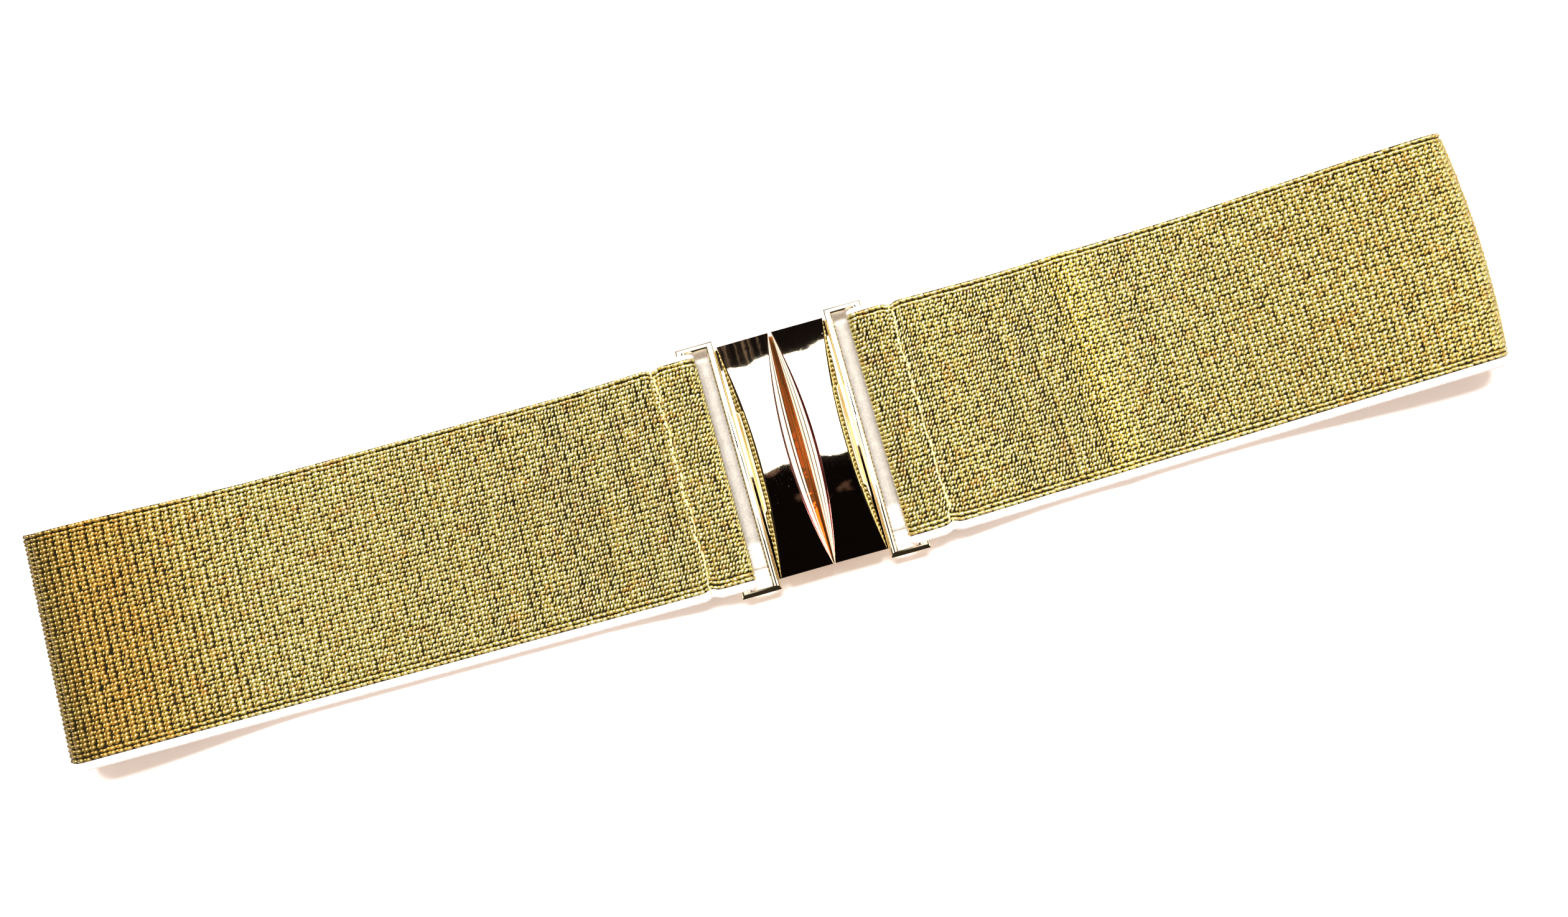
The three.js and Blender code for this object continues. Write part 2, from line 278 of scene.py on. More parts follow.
class Levels:
    """Heights that follow from the layers."""

    def __init__(self, groups):
        webbing, clasp = groups["webbing"], groups["clasp"]
        self.half = webbing.thickness / 2
        self.back = self.half
        self.rest = self.back + webbing.thickness + clasp.clearance
        self.turn_radius = clasp.frame_thickness / 2 + clasp.clearance + self.half
        self.bar = self.rest + self.turn_radius
        self.bar_bottom = self.bar - clasp.frame_thickness / 2
        self.front = self.bar + self.turn_radius
        self.hidden_start = clasp.bar_start + clasp.bar_width + clasp.slot
        self.frame_end = self.hidden_start + clasp.hidden_bar
        self.turn_centre = self.hidden_start + clasp.frame_thickness / 2
        self.fold_radius = (groups["loop"].fold_height - webbing.thickness) / 2
        self.fold_top = self.back + 2 * self.fold_radius


class LoopEnd:
    """One end of the loop: the turn round the clasp bar, the front run and the end fold."""

    STEP = 0.2 * MM
    # Shares of the front run: where it has left the bar's direction, and from where it turns to the fold's
    LEAVES_BAR, MEETS_FOLD = 0.15, 0.6

    def __init__(self, groups, side):
        self.groups, self.side, self.levels = groups, side, Levels(groups)
        loop = groups["loop"]
        reach, slope, drift = (
            (loop.left_reach, loop.left_slope, loop.left_drift)
            if side < 0
            else (loop.right_reach, loop.right_slope, loop.right_drift)
        )
        self.slope = slope
        self.turn = on_clasp(groups, side, [[side * self.levels.turn_centre, 0.0, 0.0]])[0, :2]
        self.fold = np.array([side * (reach - self.levels.fold_radius - self.levels.half), -drift])
        run = self.fold - self.turn
        self.run_length = float(np.hypot(*run))
        self.turn_lean = -side * groups["clasp"].seam_opening / 2
        self.run_lean = math.atan2(side * run[1], side * run[0])

    def height(self, distance):
        """Height of the front run's middle, at a distance from the axis of the clasp bar."""
        loop, levels = self.groups["loop"], self.levels
        clasp_part = (levels.front - levels.rest) * (1 - ease(distance / loop.clasp_slope))
        fold_part = (levels.fold_top - levels.rest) * ease(1 - (self.run_length - distance) / self.slope)
        crease = 0.0
        if self.side > 0:
            from_crease = distance - loop.crease_place * self.run_length
            crease = loop.crease_height * bump(from_crease, loop.crease_spread)
        return levels.rest + clasp_part + fold_part + crease

    def tail_height(self, distance):
        """Height of the turned-back tail, which comes up to meet the front run at the stitch row."""
        webbing, clasp, levels = self.groups["webbing"], self.groups["clasp"], self.levels
        under = levels.bar - levels.turn_radius
        sewn = self.height(distance) - webbing.thickness - clasp.clearance
        past_bar = levels.frame_end - levels.turn_centre + clasp.clearance
        stitch_row = webbing.stitch_inset - levels.turn_radius - levels.half
        return under + (sewn - under) * ease((distance - past_bar) / (stitch_row - past_bar))

    def lean(self, distance):
        """How far the cross direction leans: with the bar, then the run, and straight at the fold."""
        share = distance / self.run_length
        leaving = self.turn_lean + (self.run_lean - self.turn_lean) * ease(share / self.LEAVES_BAR)
        return leaving * (1 - ease((share - self.MEETS_FOLD) / (1 - self.MEETS_FOLD)))

    def stations(self):
        """Rows of x, y, z, lean, distance from the bar and part, from the tail's end to the fold."""
        levels, webbing = self.levels, self.groups["webbing"]
        tail = webbing.tail - levels.turn_radius - levels.half
        run = self.fold - self.turn
        parts = []

        def row(x, y, z, lean, distance, part):
            size = len(z)
            parts.append(np.column_stack([np.broadcast_to(v, size) for v in (x, y, z, lean, distance, part)]))

        def plan(distance):
            return self.turn[:, None] + run[:, None] * (distance / self.run_length)[None, :]

        distance = np.linspace(tail, 0, round(tail / self.STEP), endpoint=False)
        x, y = plan(distance)
        row(x, y, self.tail_height(distance), self.turn_lean, distance, TAIL)
        count = round(math.pi * levels.turn_radius / self.STEP)
        angle = np.linspace(-math.pi / 2, math.pi / 2, count, endpoint=False)
        x = self.turn[0] - self.side * levels.turn_radius * np.cos(angle)
        row(x, self.turn[1], levels.bar + levels.turn_radius * np.sin(angle), self.turn_lean, 0, TURN)
        distance = np.linspace(0, self.run_length, round(self.run_length / self.STEP), endpoint=False)
        x, y = plan(distance)
        row(x, y, self.height(distance), self.lean(distance), distance, FRONT)
        count = round(math.pi * levels.fold_radius / self.STEP)
        angle = np.linspace(math.pi / 2, -math.pi / 2, count, endpoint=False)
        x = self.fold[0] + self.side * levels.fold_radius * np.cos(angle)
        y = self.fold[1] * (1 + np.sin(angle)) / 2
        z = levels.back + levels.fold_radius * (1 + np.sin(angle))
        row(x, y, z, 0.0, self.run_length, FOLD)
        return np.vstack(parts)


class WebbingPath:
    """The middle line of the webbing from its left sewn end round the loop to its right one."""

    # Distance from a clasp bar that stands for the whole back run, in metres
    FAR_OFF = 1.0

    def __init__(self, groups):
        self.groups = groups
        self.left, self.right = LoopEnd(groups, -1), LoopEnd(groups, 1)
        levels = Levels(groups)
        span = self.right.fold[0] - self.left.fold[0]
        count = round(span / LoopEnd.STEP)
        back = np.zeros((count, PART + 1))
        back[:, X] = np.linspace(self.left.fold[0], self.right.fold[0], count, endpoint=False)
        back[:, Z] = levels.back
        back[:, DISTANCE:] = self.FAR_OFF, BACK
        left, right = self.left.stations(), self.right.stations()[::-1]
        rows = np.vstack([left, back, right])
        self.rows = rows
        steps = np.hypot(np.diff(rows[:, X]), np.diff(rows[:, Z]))
        self.run = np.concatenate([[0.0], np.cumsum(steps)])
        tangent = np.gradient(rows[:, [X, Z]], self.run, axis=0)
        self.tangent = tangent / np.linalg.norm(tangent, axis=1)[:, None]
        self.marks = {
            "left_fold": float(self.run[np.argmax(rows[:, PART] == BACK)]),
            "right_fold": float(self.run[np.argmax((rows[:, PART] == FOLD) & (rows[:, X] > 0))]),
            "end": float(self.run[-1]),
        }

    def take(self, column, run):
        """A column of the stations at places along the webbing."""
        return np.interp(run, self.run, self.rows[:, column])

    def notch(self, run):
        """How far each selvedge is drawn in at places along the webbing."""
        webbing, levels = self.groups["webbing"], Levels(self.groups)
        part = self.take(PART, run)
        sewn = (np.abs(part - TAIL) < 0.5) | (np.abs(part - FRONT) < 0.5)
        from_row = self.take(DISTANCE, run) + levels.turn_radius + levels.half - webbing.stitch_inset
        return np.where(sewn, webbing.stitch_notch * bump(from_row, webbing.stitch_spread), 0.0)

    def slip(self, x, share):
        """How far the ends of the loop have slipped along it, at a share of the half width."""
        loop = self.groups["loop"]
        near_left = ease(1 - (x - self.left.fold[0]) / loop.bow_length)
        near_right = ease(1 - (self.right.fold[0] - x) / loop.bow_length)
        right = loop.right_give + loop.right_skew * share + loop.right_bow * (1 - share**2)
        return near_right * right - near_left * loop.left_give

    def crease_run(self):
        """Where the soft crease of the right run is along the webbing."""
        return self.marks["end"] - self.end_run(self.groups["loop"].crease_place * self.right.run_length)

    def end_run(self, distance):
        """Length of webbing from its right end to a distance along the right front run."""
        webbing, levels = self.groups["webbing"], Levels(self.groups)
        tail = webbing.tail - levels.turn_radius - levels.half
        return tail + math.pi * levels.turn_radius + distance

    def place(self, run, across, height):
        """Points along and across the webbing, at a height from its middle towards the gold face."""
        run, across, height = np.broadcast_arrays(run, across, height)
        lean = self.take(LEAN, run)
        half = self.groups["webbing"].width / 2
        across = across * (1 - self.notch(run) / half)
        tangent_x = np.interp(run, self.run, self.tangent[:, 0])
        tangent_z = np.interp(run, self.run, self.tangent[:, 1])
        x = self.take(X, run) - np.sin(lean) * across + tangent_z * height
        x = x + self.slip(x, across / half)
        y = self.take(Y, run) + np.cos(lean) * across
        z = self.take(Z, run) - tangent_x * height
        return np.stack([x, y, z], axis=-1)


def new_piece(context, groups, name, points, faces, materials, node=None):
    """Makes a piece from points of the seam's frame and puts it in the packed model's frame."""
    mesh = bpy.data.meshes.new(name)
    mesh.from_pydata((np.asarray(points) + origin_shift(groups)).tolist(), [], faces)
    mesh.polygons.foreach_set("use_smooth", [True] * len(mesh.polygons))
    for material in materials:
        mesh.materials.append(material)
    mesh.validate()
    piece = bpy.data.objects.new(name, mesh)
    context.scene.collection.objects.link(piece)
    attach(piece, "root")
    if node:
        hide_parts(node)
    return piece


def store(piece, name, values):
    """Keeps a value for every point of a piece, for its material."""
    attribute = piece.data.attributes.new(name, "FLOAT", "POINT")
    attribute.data.foreach_set("value", np.asarray(values, dtype=np.float32))


class Nodes:
    """A short way to write down a node tree."""

    def __init__(self, tree):
        self.tree = tree

    def add(self, kind, inputs=None, **settings_):
        node = self.tree.nodes.new(kind)
        for name, value in settings_.items():
            setattr(node, name, value)
        for name, value in (inputs or {}).items():
            self.feed(node.inputs[name], value)
        return node

    def feed(self, socket, value):
        if isinstance(value, bpy.types.NodeSocket):
            self.tree.links.new(value, socket)
        elif isinstance(value, bpy.types.Node):
            self.tree.links.new(value.outputs[0], socket)
        else:
            socket.default_value = value

    def stored(self, name):
        """A value that the mesh keeps for each of its points."""
        return self.add("ShaderNodeAttribute", attribute_name=name).outputs["Fac"]

    def local(self):
        """A point's place on the piece itself, in metres."""
        return self.add("ShaderNodeTexCoord").outputs["Object"]

    def math(self, operation, first, second=0.0, clamp=False):
        node = self.add("ShaderNodeMath", {0: first, 1: second}, operation=operation, use_clamp=clamp)
        return node.outputs[0]

    def mix(self, share, first, second, blend="MIX"):
        node = self.add("ShaderNodeMix", data_type="RGBA", blend_type=blend)
        self.feed(node.inputs[0], share)
        self.feed(node.inputs[6], first)
        self.feed(node.inputs[7], second)
        return node.outputs[2]

    def spread(self, value, low, high, to_low=0.0, to_high=1.0):
        node = self.add(
            "ShaderNodeMapRange",
            {"Value": value, "From Min": low, "From Max": high, "To Min": to_low, "To Max": to_high},
            interpolation_type="SMOOTHSTEP",
        )
        return node.outputs[0]

    def noise(self, scale, detail=2.0, roughness=0.5, vector=None):
        inputs = {"Scale": scale, "Detail": detail, "Roughness": roughness}
        if vector is not None:
            inputs["Vector"] = vector
        return self.add("ShaderNodeTexNoise", inputs).outputs[0]


def rgba(values):
    """A colour with full alpha."""
    return (*values, 1.0)


def thread_speckle():
    """Shader group: fine fibre grain that every textile of the belt has, as a value and a height."""
    name = "Belt Thread Speckle"
    if name in bpy.data.node_groups:
        return bpy.data.node_groups[name]
    group = bpy.data.node_groups.new(name, "ShaderNodeTree")
    scale = group.interface.new_socket("Scale", in_out="INPUT", socket_type="NodeSocketFloat")
    scale.default_value = 3000.0
    group.interface.new_socket("Speckle", in_out="OUTPUT", socket_type="NodeSocketFloat")
    group.interface.new_socket("Height", in_out="OUTPUT", socket_type="NodeSocketFloat")
    nodes = Nodes(group)
    source = nodes.add("NodeGroupInput")
    place = nodes.local()
    fine = nodes.noise(source.outputs["Scale"], 3.0, 0.6, place)
    coarse = nodes.noise(nodes.math("MULTIPLY", source.outputs["Scale"], 0.22), 2.0, 0.5, place)
    speckle = nodes.math("ADD", nodes.math("MULTIPLY", fine, 0.65), nodes.math("MULTIPLY", coarse, 0.35))
    result = nodes.add("NodeGroupOutput")
    nodes.feed(result.inputs["Speckle"], nodes.spread(speckle, 0.3, 0.7))
    nodes.feed(result.inputs["Height"], fine)
    return group


def new_material(name):
    """An empty material with its Principled shader and a node writer."""
    material = bpy.data.materials.new(name)
    material.use_nodes = True
    nodes = Nodes(material.node_tree)
    shader = material.node_tree.nodes["Principled BSDF"]
    return material, nodes, shader


# Second colours, which vary a finish within its material. The bend's colour is painted shade on the left
# fold's bend
FIBRE_SHADE = (0.42, 0.34, 0.1)
BEND_SHADE = (0.34, 0.38, 0.28)
GROUND_FLECKS = (0.012, 0.008, 0.002)
SELVEDGE_SHADE = (0.7, 0.68, 0.66)
STITCH_SHADE = (0.62, 0.5, 0.22)
THREAD_ENDS = (0.26, 0.2, 0.11)
SMUDGES = (0.7, 0.5, 0.33)
# Thread ends on the inner face, in mm: their distances across and along, and where they start and are full
ENDS_ACROSS, ENDS_ALONG = 1.1, 1.72
ENDS_START, ENDS_FULL = 23.0, 24.5


def fibre_finish(nodes, shader, scale, rough, strength, depth):
    """Gives a textile its fibre roughness and relief, and returns the grain of its fibres for its colour."""
    speckle = nodes.add("ShaderNodeGroup", {"Scale": scale}, node_tree=thread_speckle())
    grain = speckle.outputs["Speckle"]
    nodes.feed(shader.inputs["Roughness"], nodes.spread(grain, 0.0, 1.0, *rough))
    relief = {"Strength": strength, "Distance": depth, "Height": speckle.outputs["Height"]}
    nodes.feed(shader.inputs["Normal"], nodes.add("ShaderNodeBump", relief))
    return grain


def gold_thread_material(finishes):
    """Metallic thread with a painted highlight on its tops and painted shade on its edges. Every thread has
    its own tone.
    """
    material, nodes, shader = new_material("Gold Thread")
    tone, painted_light, brown, olive = [nodes.stored(name) for name in ("tone", "painted_light", "brown", "olive")]
    grain = fibre_finish(nodes, shader, 5200.0, (0.26, 0.46), 0.35, 0.04 * MM)
    dull = nodes.math("MULTIPLY", nodes.spread(tone, 0.55, 0.0), 0.55)
    patches = nodes.spread(nodes.noise(240.0, 3.0, 0.6, nodes.local()), 0.52, 0.7)
    dull = nodes.math("ADD", dull, nodes.math("MULTIPLY", patches, 0.6))
    # Painted warm reflection: browner threads near the folds, with fewer pale tops there
    browned = nodes.math("ADD", dull, nodes.math("MULTIPLY", brown, 0.9), clamp=True)
    body = nodes.mix(browned, rgba(finishes.gold_thread), rgba(finishes.reflected_brown))
    # Painted highlight: brighter gold at the crease, where the brown value falls below zero
    body = nodes.mix(nodes.spread(brown, 0.0, -0.5), body, rgba(finishes.crease_highlight))
    # Painted shade on each thread's edges and a painted highlight on its top, from each point's share of
    # painted light
    shaped = nodes.mix(nodes.spread(painted_light, -0.05, 0.5), rgba(finishes.thread_edge), body)
    top = nodes.math("SUBTRACT", painted_light, nodes.math("MULTIPLY", brown, 0.24))
    painted_highlight = nodes.math("MULTIPLY", nodes.spread(top, 0.52, 1.0), nodes.spread(tone, 0.0, 0.6, 0.3, 1.0))
    topped = nodes.mix(painted_highlight, shaped, rgba(finishes.thread_highlight))
    shaded = nodes.mix(nodes.math("MULTIPLY", grain, 0.35), topped, rgba(FIBRE_SHADE), "MULTIPLY")
    # Painted shade: olive darkening on the left fold's bend
    bent = nodes.mix(nodes.math("MULTIPLY", olive, 0.9), shaded, rgba(BEND_SHADE), "MULTIPLY")
    nodes.feed(shader.inputs["Base Color"], bent)
    shader.inputs["Metallic"].default_value = 0.65
    shader.inputs["Coat Weight"].default_value = 0.5
    shader.inputs["Coat Roughness"].default_value = 0.18
    return material


def ground_shade_material(finishes):
    """The woven ground between the threads, painted nearly black as the shade between them, with hints of
    gold.
    """
    material, nodes, shader = new_material("Webbing Ground Shade")
    grain = fibre_finish(nodes, shader, 1900.0, (0.8, 0.6), 0.6, 0.2 * MM)
    nodes.feed(shader.inputs["Base Color"], nodes.mix(grain, rgba(finishes.ground), rgba(GROUND_FLECKS)))
    shader.inputs["Specular IOR Level"].default_value = 0.05
    return material


def textile_material(name, tint, shade, scale, depth):
    """Pale textile with fibre grain, for the selvedges and the stitches."""
    material, nodes, shader = new_material(name)
    grain = fibre_finish(nodes, shader, scale, (0.9, 0.75), 0.6, depth)
    nodes.feed(shader.inputs["Base Color"], nodes.mix(grain, rgba(shade), rgba(tint)))
    shader.inputs["Sheen Weight"].default_value = 0.25
    return material


def inner_material(finishes):
    """The ribbed inner face: cream, made grey in part as painted shade, and whiter beside the selvedges, with
    rows of small thread ends there.
    """
    material, nodes, shader = new_material("Webbing Inner Face")
    along, across = nodes.stored("along"), nodes.stored("across")
    grain = fibre_finish(nodes, shader, 2300.0, (0.92, 0.78), 0.5, 0.12 * MM)
    shade = tuple(0.72 * channel for channel in finishes.inner)
    woven = nodes.mix(grain, rgba(shade), rgba(finishes.inner))
    rows = nodes.math("SINE", nodes.math("MULTIPLY", across, 2 * math.pi / ENDS_ACROSS))
    dots = nodes.math("SINE", nodes.math("MULTIPLY", along, 2 * math.pi / ENDS_ALONG))
    grid = nodes.spread(nodes.math("MULTIPLY", rows, dots), 0.55, 0.8)
    beside = nodes.spread(nodes.math("ABSOLUTE", across), ENDS_START, ENDS_FULL)
    clear = nodes.spread(nodes.noise(900.0, 1.0), 0.42, 0.62)
    ends = nodes.math("MULTIPLY", nodes.math("MULTIPLY", grid, beside), nodes.math("MULTIPLY", clear, 0.5))
    edged = nodes.mix(nodes.math("MULTIPLY", beside, 0.6), woven, rgba(finishes.selvedge))
    nodes.feed(shader.inputs["Base Color"], nodes.mix(ends, edged, rgba(THREAD_ENDS)))
    shader.inputs["Sheen Weight"].default_value = 0.2
    return material


def plating_material(name, tint, wave=0.006, metallic=1.0):
    """Mirror plating with faint waves, smudges and specks."""
    material, nodes, shader = new_material(name)
    place = nodes.local()
    smudge = nodes.spread(nodes.noise(160.0, 3.0, 0.6, place), 0.5, 0.75)
    specks = nodes.spread(nodes.noise(1300.0, 1.0, 0.5, place), 0.775, 0.8)
    tinted = nodes.mix(nodes.math("MULTIPLY", smudge, 0.12), rgba(tint), rgba(SMUDGES))
    nodes.feed(shader.inputs["Base Color"], tinted)
    shader.inputs["Metallic"].default_value = metallic
    dusty = nodes.math("MULTIPLY", specks, 0.05)
    nodes.feed(shader.inputs["Roughness"], nodes.math("ADD", dusty, 0.015))
    relief = {"Strength": wave, "Distance": 0.2 * MM, "Height": nodes.noise(420.0, 2.0, 0.5, place)}
    nodes.feed(shader.inputs["Normal"], nodes.add("ShaderNodeBump", relief))
    return material


# Each selvedge's rounded outside, in the order in which the section runs: distance from the webbing's edge in
# mm, and height as a share of half the thickness
FAR_SELVEDGE = ((1.2, -0.93), (0.35, -0.7), (0.0, -0.1), (0.2, 0.5), (0.65, 0.84))
NEAR_SELVEDGE = ((1.1, 0.93), (0.45, 0.72), (0.0, 0.1), (0.3, -0.5), (1.2, -0.93))
# Where the flat inner face ends, from the webbing's edge, and how far each selvedge's gold side slopes
INNER_EDGE = 1.7 * MM
SELVEDGE_SLOPE = 0.25 * MM


def strap_section(webbing):
    """The webbing's section, as rows of across, height and kind of face."""
    half, thick = webbing.width / 2, webbing.thickness / 2
    far, near = half - webbing.far_selvedge, -half + webbing.near_selvedge
    ground = thick - webbing.ground
    rows = [(share * (half - INNER_EDGE), -thick, INNER) for share in (-1.0, -0.5, 0.0, 0.5, 1.0)]
    rows += [(half - inset * MM, share * thick, SELVEDGE) for inset, share in FAR_SELVEDGE]
    rows += [(far + SELVEDGE_SLOPE, 0.8 * thick, SELVEDGE)]
    rows += [(place, ground, GROUND) for place in (far, far / 2, 0.0, near / 2, near)]
    rows += [(near - SELVEDGE_SLOPE, 0.84 * thick, SELVEDGE)]
    rows += [(inset * MM - half, share * thick, SELVEDGE) for inset, share in NEAR_SELVEDGE]
    return np.array(rows)


def loft_faces(rings, count):
    """Faces of a closed tube through rings of points, with a face at each end."""
    near = (np.arange(rings - 1)[:, None] * count + np.arange(count)[None, :]).ravel()
    after = (np.arange(rings - 1)[:, None] * count + (np.arange(count)[None, :] + 1) % count).ravel()
    sides = np.stack([near, after, after + count, near + count], axis=1).tolist()
    last = (rings - 1) * count
    return sides + [list(range(count))[::-1], [last + place for place in range(count)]]


# The selvedges' surface: random fuzz, the weft picks' height and how far they sink the edge, and their pitch
# as a share of the inner face's ribs
FUZZ = 0.03 * MM
PICK, PICK_SINK = 0.035 * MM, 0.05 * MM
PICK_PITCH = 0.9


class BELT_OT_strap(bpy.types.Operator):
    """Make the webbing: its ribbed inner face, its white selvedges and the ground under the gold threads"""

    bl_idname = "belt.make_strap"
    bl_label = "Webbing"

    def execute(self, context):
        groups = settings(context)
        webbing, finishes = groups["webbing"], groups["finishes"]
        path, section = WebbingPath(groups), strap_section(webbing)
        draws = np.random.default_rng(FUZZ_SEED)
        run = np.linspace(0, path.marks["end"], round(path.marks["end"] / (webbing.rib_pitch / 4)))
        across = np.tile(section[:, 0], (len(run), 1))
        height = np.tile(section[:, 1], (len(run), 1))
        inner, selvedge = section[:, 2] == INNER, section[:, 2] == SELVEDGE
        rib = webbing.rib * np.cos(2 * math.pi * run / webbing.rib_pitch)
        height[:, inner] += (webbing.rib - rib)[:, None]
        fuzz = draws.normal(0, FUZZ, (len(run), int(selvedge.sum())))
        picks = PICK * np.cos(2 * math.pi * run / (webbing.rib_pitch * PICK_PITCH))[:, None]
        across[:, selvedge] += np.sign(section[selvedge, 0]) * (picks - PICK_SINK) + fuzz
        height[:, selvedge] += np.sign(section[selvedge, 1]) * (picks - PICK) + 0.5 * fuzz
        points = path.place(run[:, None], across, height).reshape(-1, 3)
        materials = [
            inner_material(finishes),
            textile_material("White Selvedge", finishes.selvedge, SELVEDGE_SHADE, 2600.0, 0.15 * MM),
            ground_shade_material(finishes),
        ]
        faces = loft_faces(len(run), len(section))
        strap = new_piece(
            context, groups, "webbing", points, faces, materials, node="elastic_strap"
        )
        after = np.roll(section[:, 2], -1)
        kinds = np.where(section[:, 2] == after, section[:, 2], SELVEDGE).astype(int)
        indices = np.concatenate([np.tile(kinds, len(run) - 1), [SELVEDGE, SELVEDGE]])
        strap.data.polygons.foreach_set("material_index", indices)
        store(strap, "along", np.repeat(run / MM, len(section)))
        store(strap, "across", np.tile(section[:, 0] / MM, len(run)))
        return {"FINISHED"}


# One float, tail to head: place along it, share of its width, share of its height and painted highlight
FLOAT_RINGS = (
    (-0.72, 0.55, 0.62, 0.5),
    (-0.02, 0.92, 0.88, 0.85),
    (0.64, 0.94, 1.0, 1.0),
)
# The same for a fine strand and for a stitch
STRAND_RINGS = ((-0.5, 0.9, 0.95, 0.62), (0.5, 0.9, 0.95, 0.72))
STITCH_RINGS = ((-0.8, 0.7, 0.7, 0.8), (-0.3, 1.0, 1.0, 0.9), (0.3, 1.0, 1.0, 0.9), (0.8, 0.7, 0.7, 0.8))


def dome(rings, arc, curl=0.0):
    """Points, triangles and painted highlight of a long low dome, whose tips curl to either side."""
    points, pale, faces = [(-1.0, curl, 0.0)], [0.0], []
    for place, wide, tall, light in rings:
        for step in range(arc + 1):
            angle = math.pi * step / arc
            points.append((place, -wide * math.cos(angle), tall * math.sin(angle)))
            pale.append(light * math.sin(angle))
    points.append((1.0, -curl, 0.0))
    pale.append(0.2)
    size = arc + 1
    for step in range(arc):
        faces.append((0, 1 + step, 1 + step + 1))
        last = 1 + (len(rings) - 1) * size
        faces.append((len(points) - 1, last + step + 1, last + step))
        for ring in range(len(rings) - 1):
            here = 1 + ring * size + step
            faces.append((here, here + size + 1, here + 1))
            faces.append((here, here + size, here + size + 1))
    return np.array(points), np.array(faces), np.array(pale)


# Where the weave looks finer: distance of the bands, the waver in it, their reach from the clasp and fade
BAND_PITCH, BAND_WAVER = 13 * MM, 37 * MM
BAND_REACH, BAND_FADE = 50 * MM, 80 * MM
# How deep the threads' feet lie in the ground
THREAD_FOOT = 0.04 * MM


def float_columns(path, weave, start, end):
    """Places of the float columns along the webbing: wider apart near the left fold, closer at the clasp."""
    places, place = [], start
    while place < end:
        places.append(place)
        near_fold = bump(place - path.marks["left_fold"] + 18 * MM, 40 * MM)
        near_clasp = math.exp(-place / (30 * MM)) + math.exp(-(path.marks["end"] - place) / (30 * MM))
        place += weave.pitch * (1 + 0.12 * near_fold - 0.05 * near_clasp)
    return np.array(places)


def fine_share(path, run):
    """Where the floats are slimmer and the strands fuller: in bands that fade out from the clasp."""
    from_clasp = np.minimum(run, path.marks["end"] - run)
    waver = 1.8 * np.sin(2 * math.pi * run / BAND_WAVER)
    bands = 0.5 + 0.5 * np.sin(2 * math.pi * run / BAND_PITCH + waver)
    return (0.25 + 0.75 * bands) * (1 - ease((from_clasp - BAND_REACH) / BAND_FADE))


def near_place(run, place, full, fade):
    """A share that is 1 up to a distance from a place along the webbing, and fades out beyond it."""
    return 1 - ease((np.abs(run - place) - full) / fade)


def threads(path, groups, run, across, angle, sizes, template, lift=0.0):
    """Points of many thread domes at once: one row of a table for each, with its length, width and height."""
    points, faces, _ = template
    along = points[None, :, 0] * sizes[:, 0:1] / 2
    wide = points[None, :, 1] * sizes[:, 1:2] / 2
    turn, lean = np.cos(angle)[:, None], np.sin(angle)[:, None]
    place_run = run[:, None] - along * turn + wide * lean
    place_across = across[:, None] + along * lean + wide * turn
    webbing = groups["webbing"]
    ground = webbing.thickness / 2 - webbing.ground - THREAD_FOOT
    tall = points[None, :, 2] * sizes[:, 2:3] * (1 + lift * points[None, :, 0])
    spots = path.place(place_run, place_across, ground + tall)
    offsets = (np.arange(len(run)) * len(points))[:, None, None]
    return spots.reshape(-1, 3), (faces[None] + offsets).reshape(-1, 3)


# Random differences between the floats: place along and across the belt, slant, length, width and height
FLOAT_JITTER = (0.075 * MM, 0.055 * MM, 0.15, 0.07, 0.09, 0.06)
# How far every second row of floats is shifted, and how far the weave starts from the webbing's ends
ROW_SHIFT = 0.1 * MM
WEAVE_INSET = 0.8 * MM
# Usual tone of a thread, the spread about it, and the length over which the threads at the crease get a
# painted highlight
TONE, TONE_SPREAD = 0.56, 0.31
CREASE_TONE = 6.5 * MM
# Painted warm reflection, browner stretches: mark on the webbing, place beyond it, full reach, fade and
# strength
WARM_REFLECTION_STRETCHES = (
    ("left_fold", -14 * MM, 8 * MM, 40 * MM, 0.88),
    ("right_fold", 8 * MM, 10 * MM, 70 * MM, 0.2),
)
# Painted shade on the left fold's bend: full reach and fade
BEND_REACH = (5 * MM, 11 * MM)


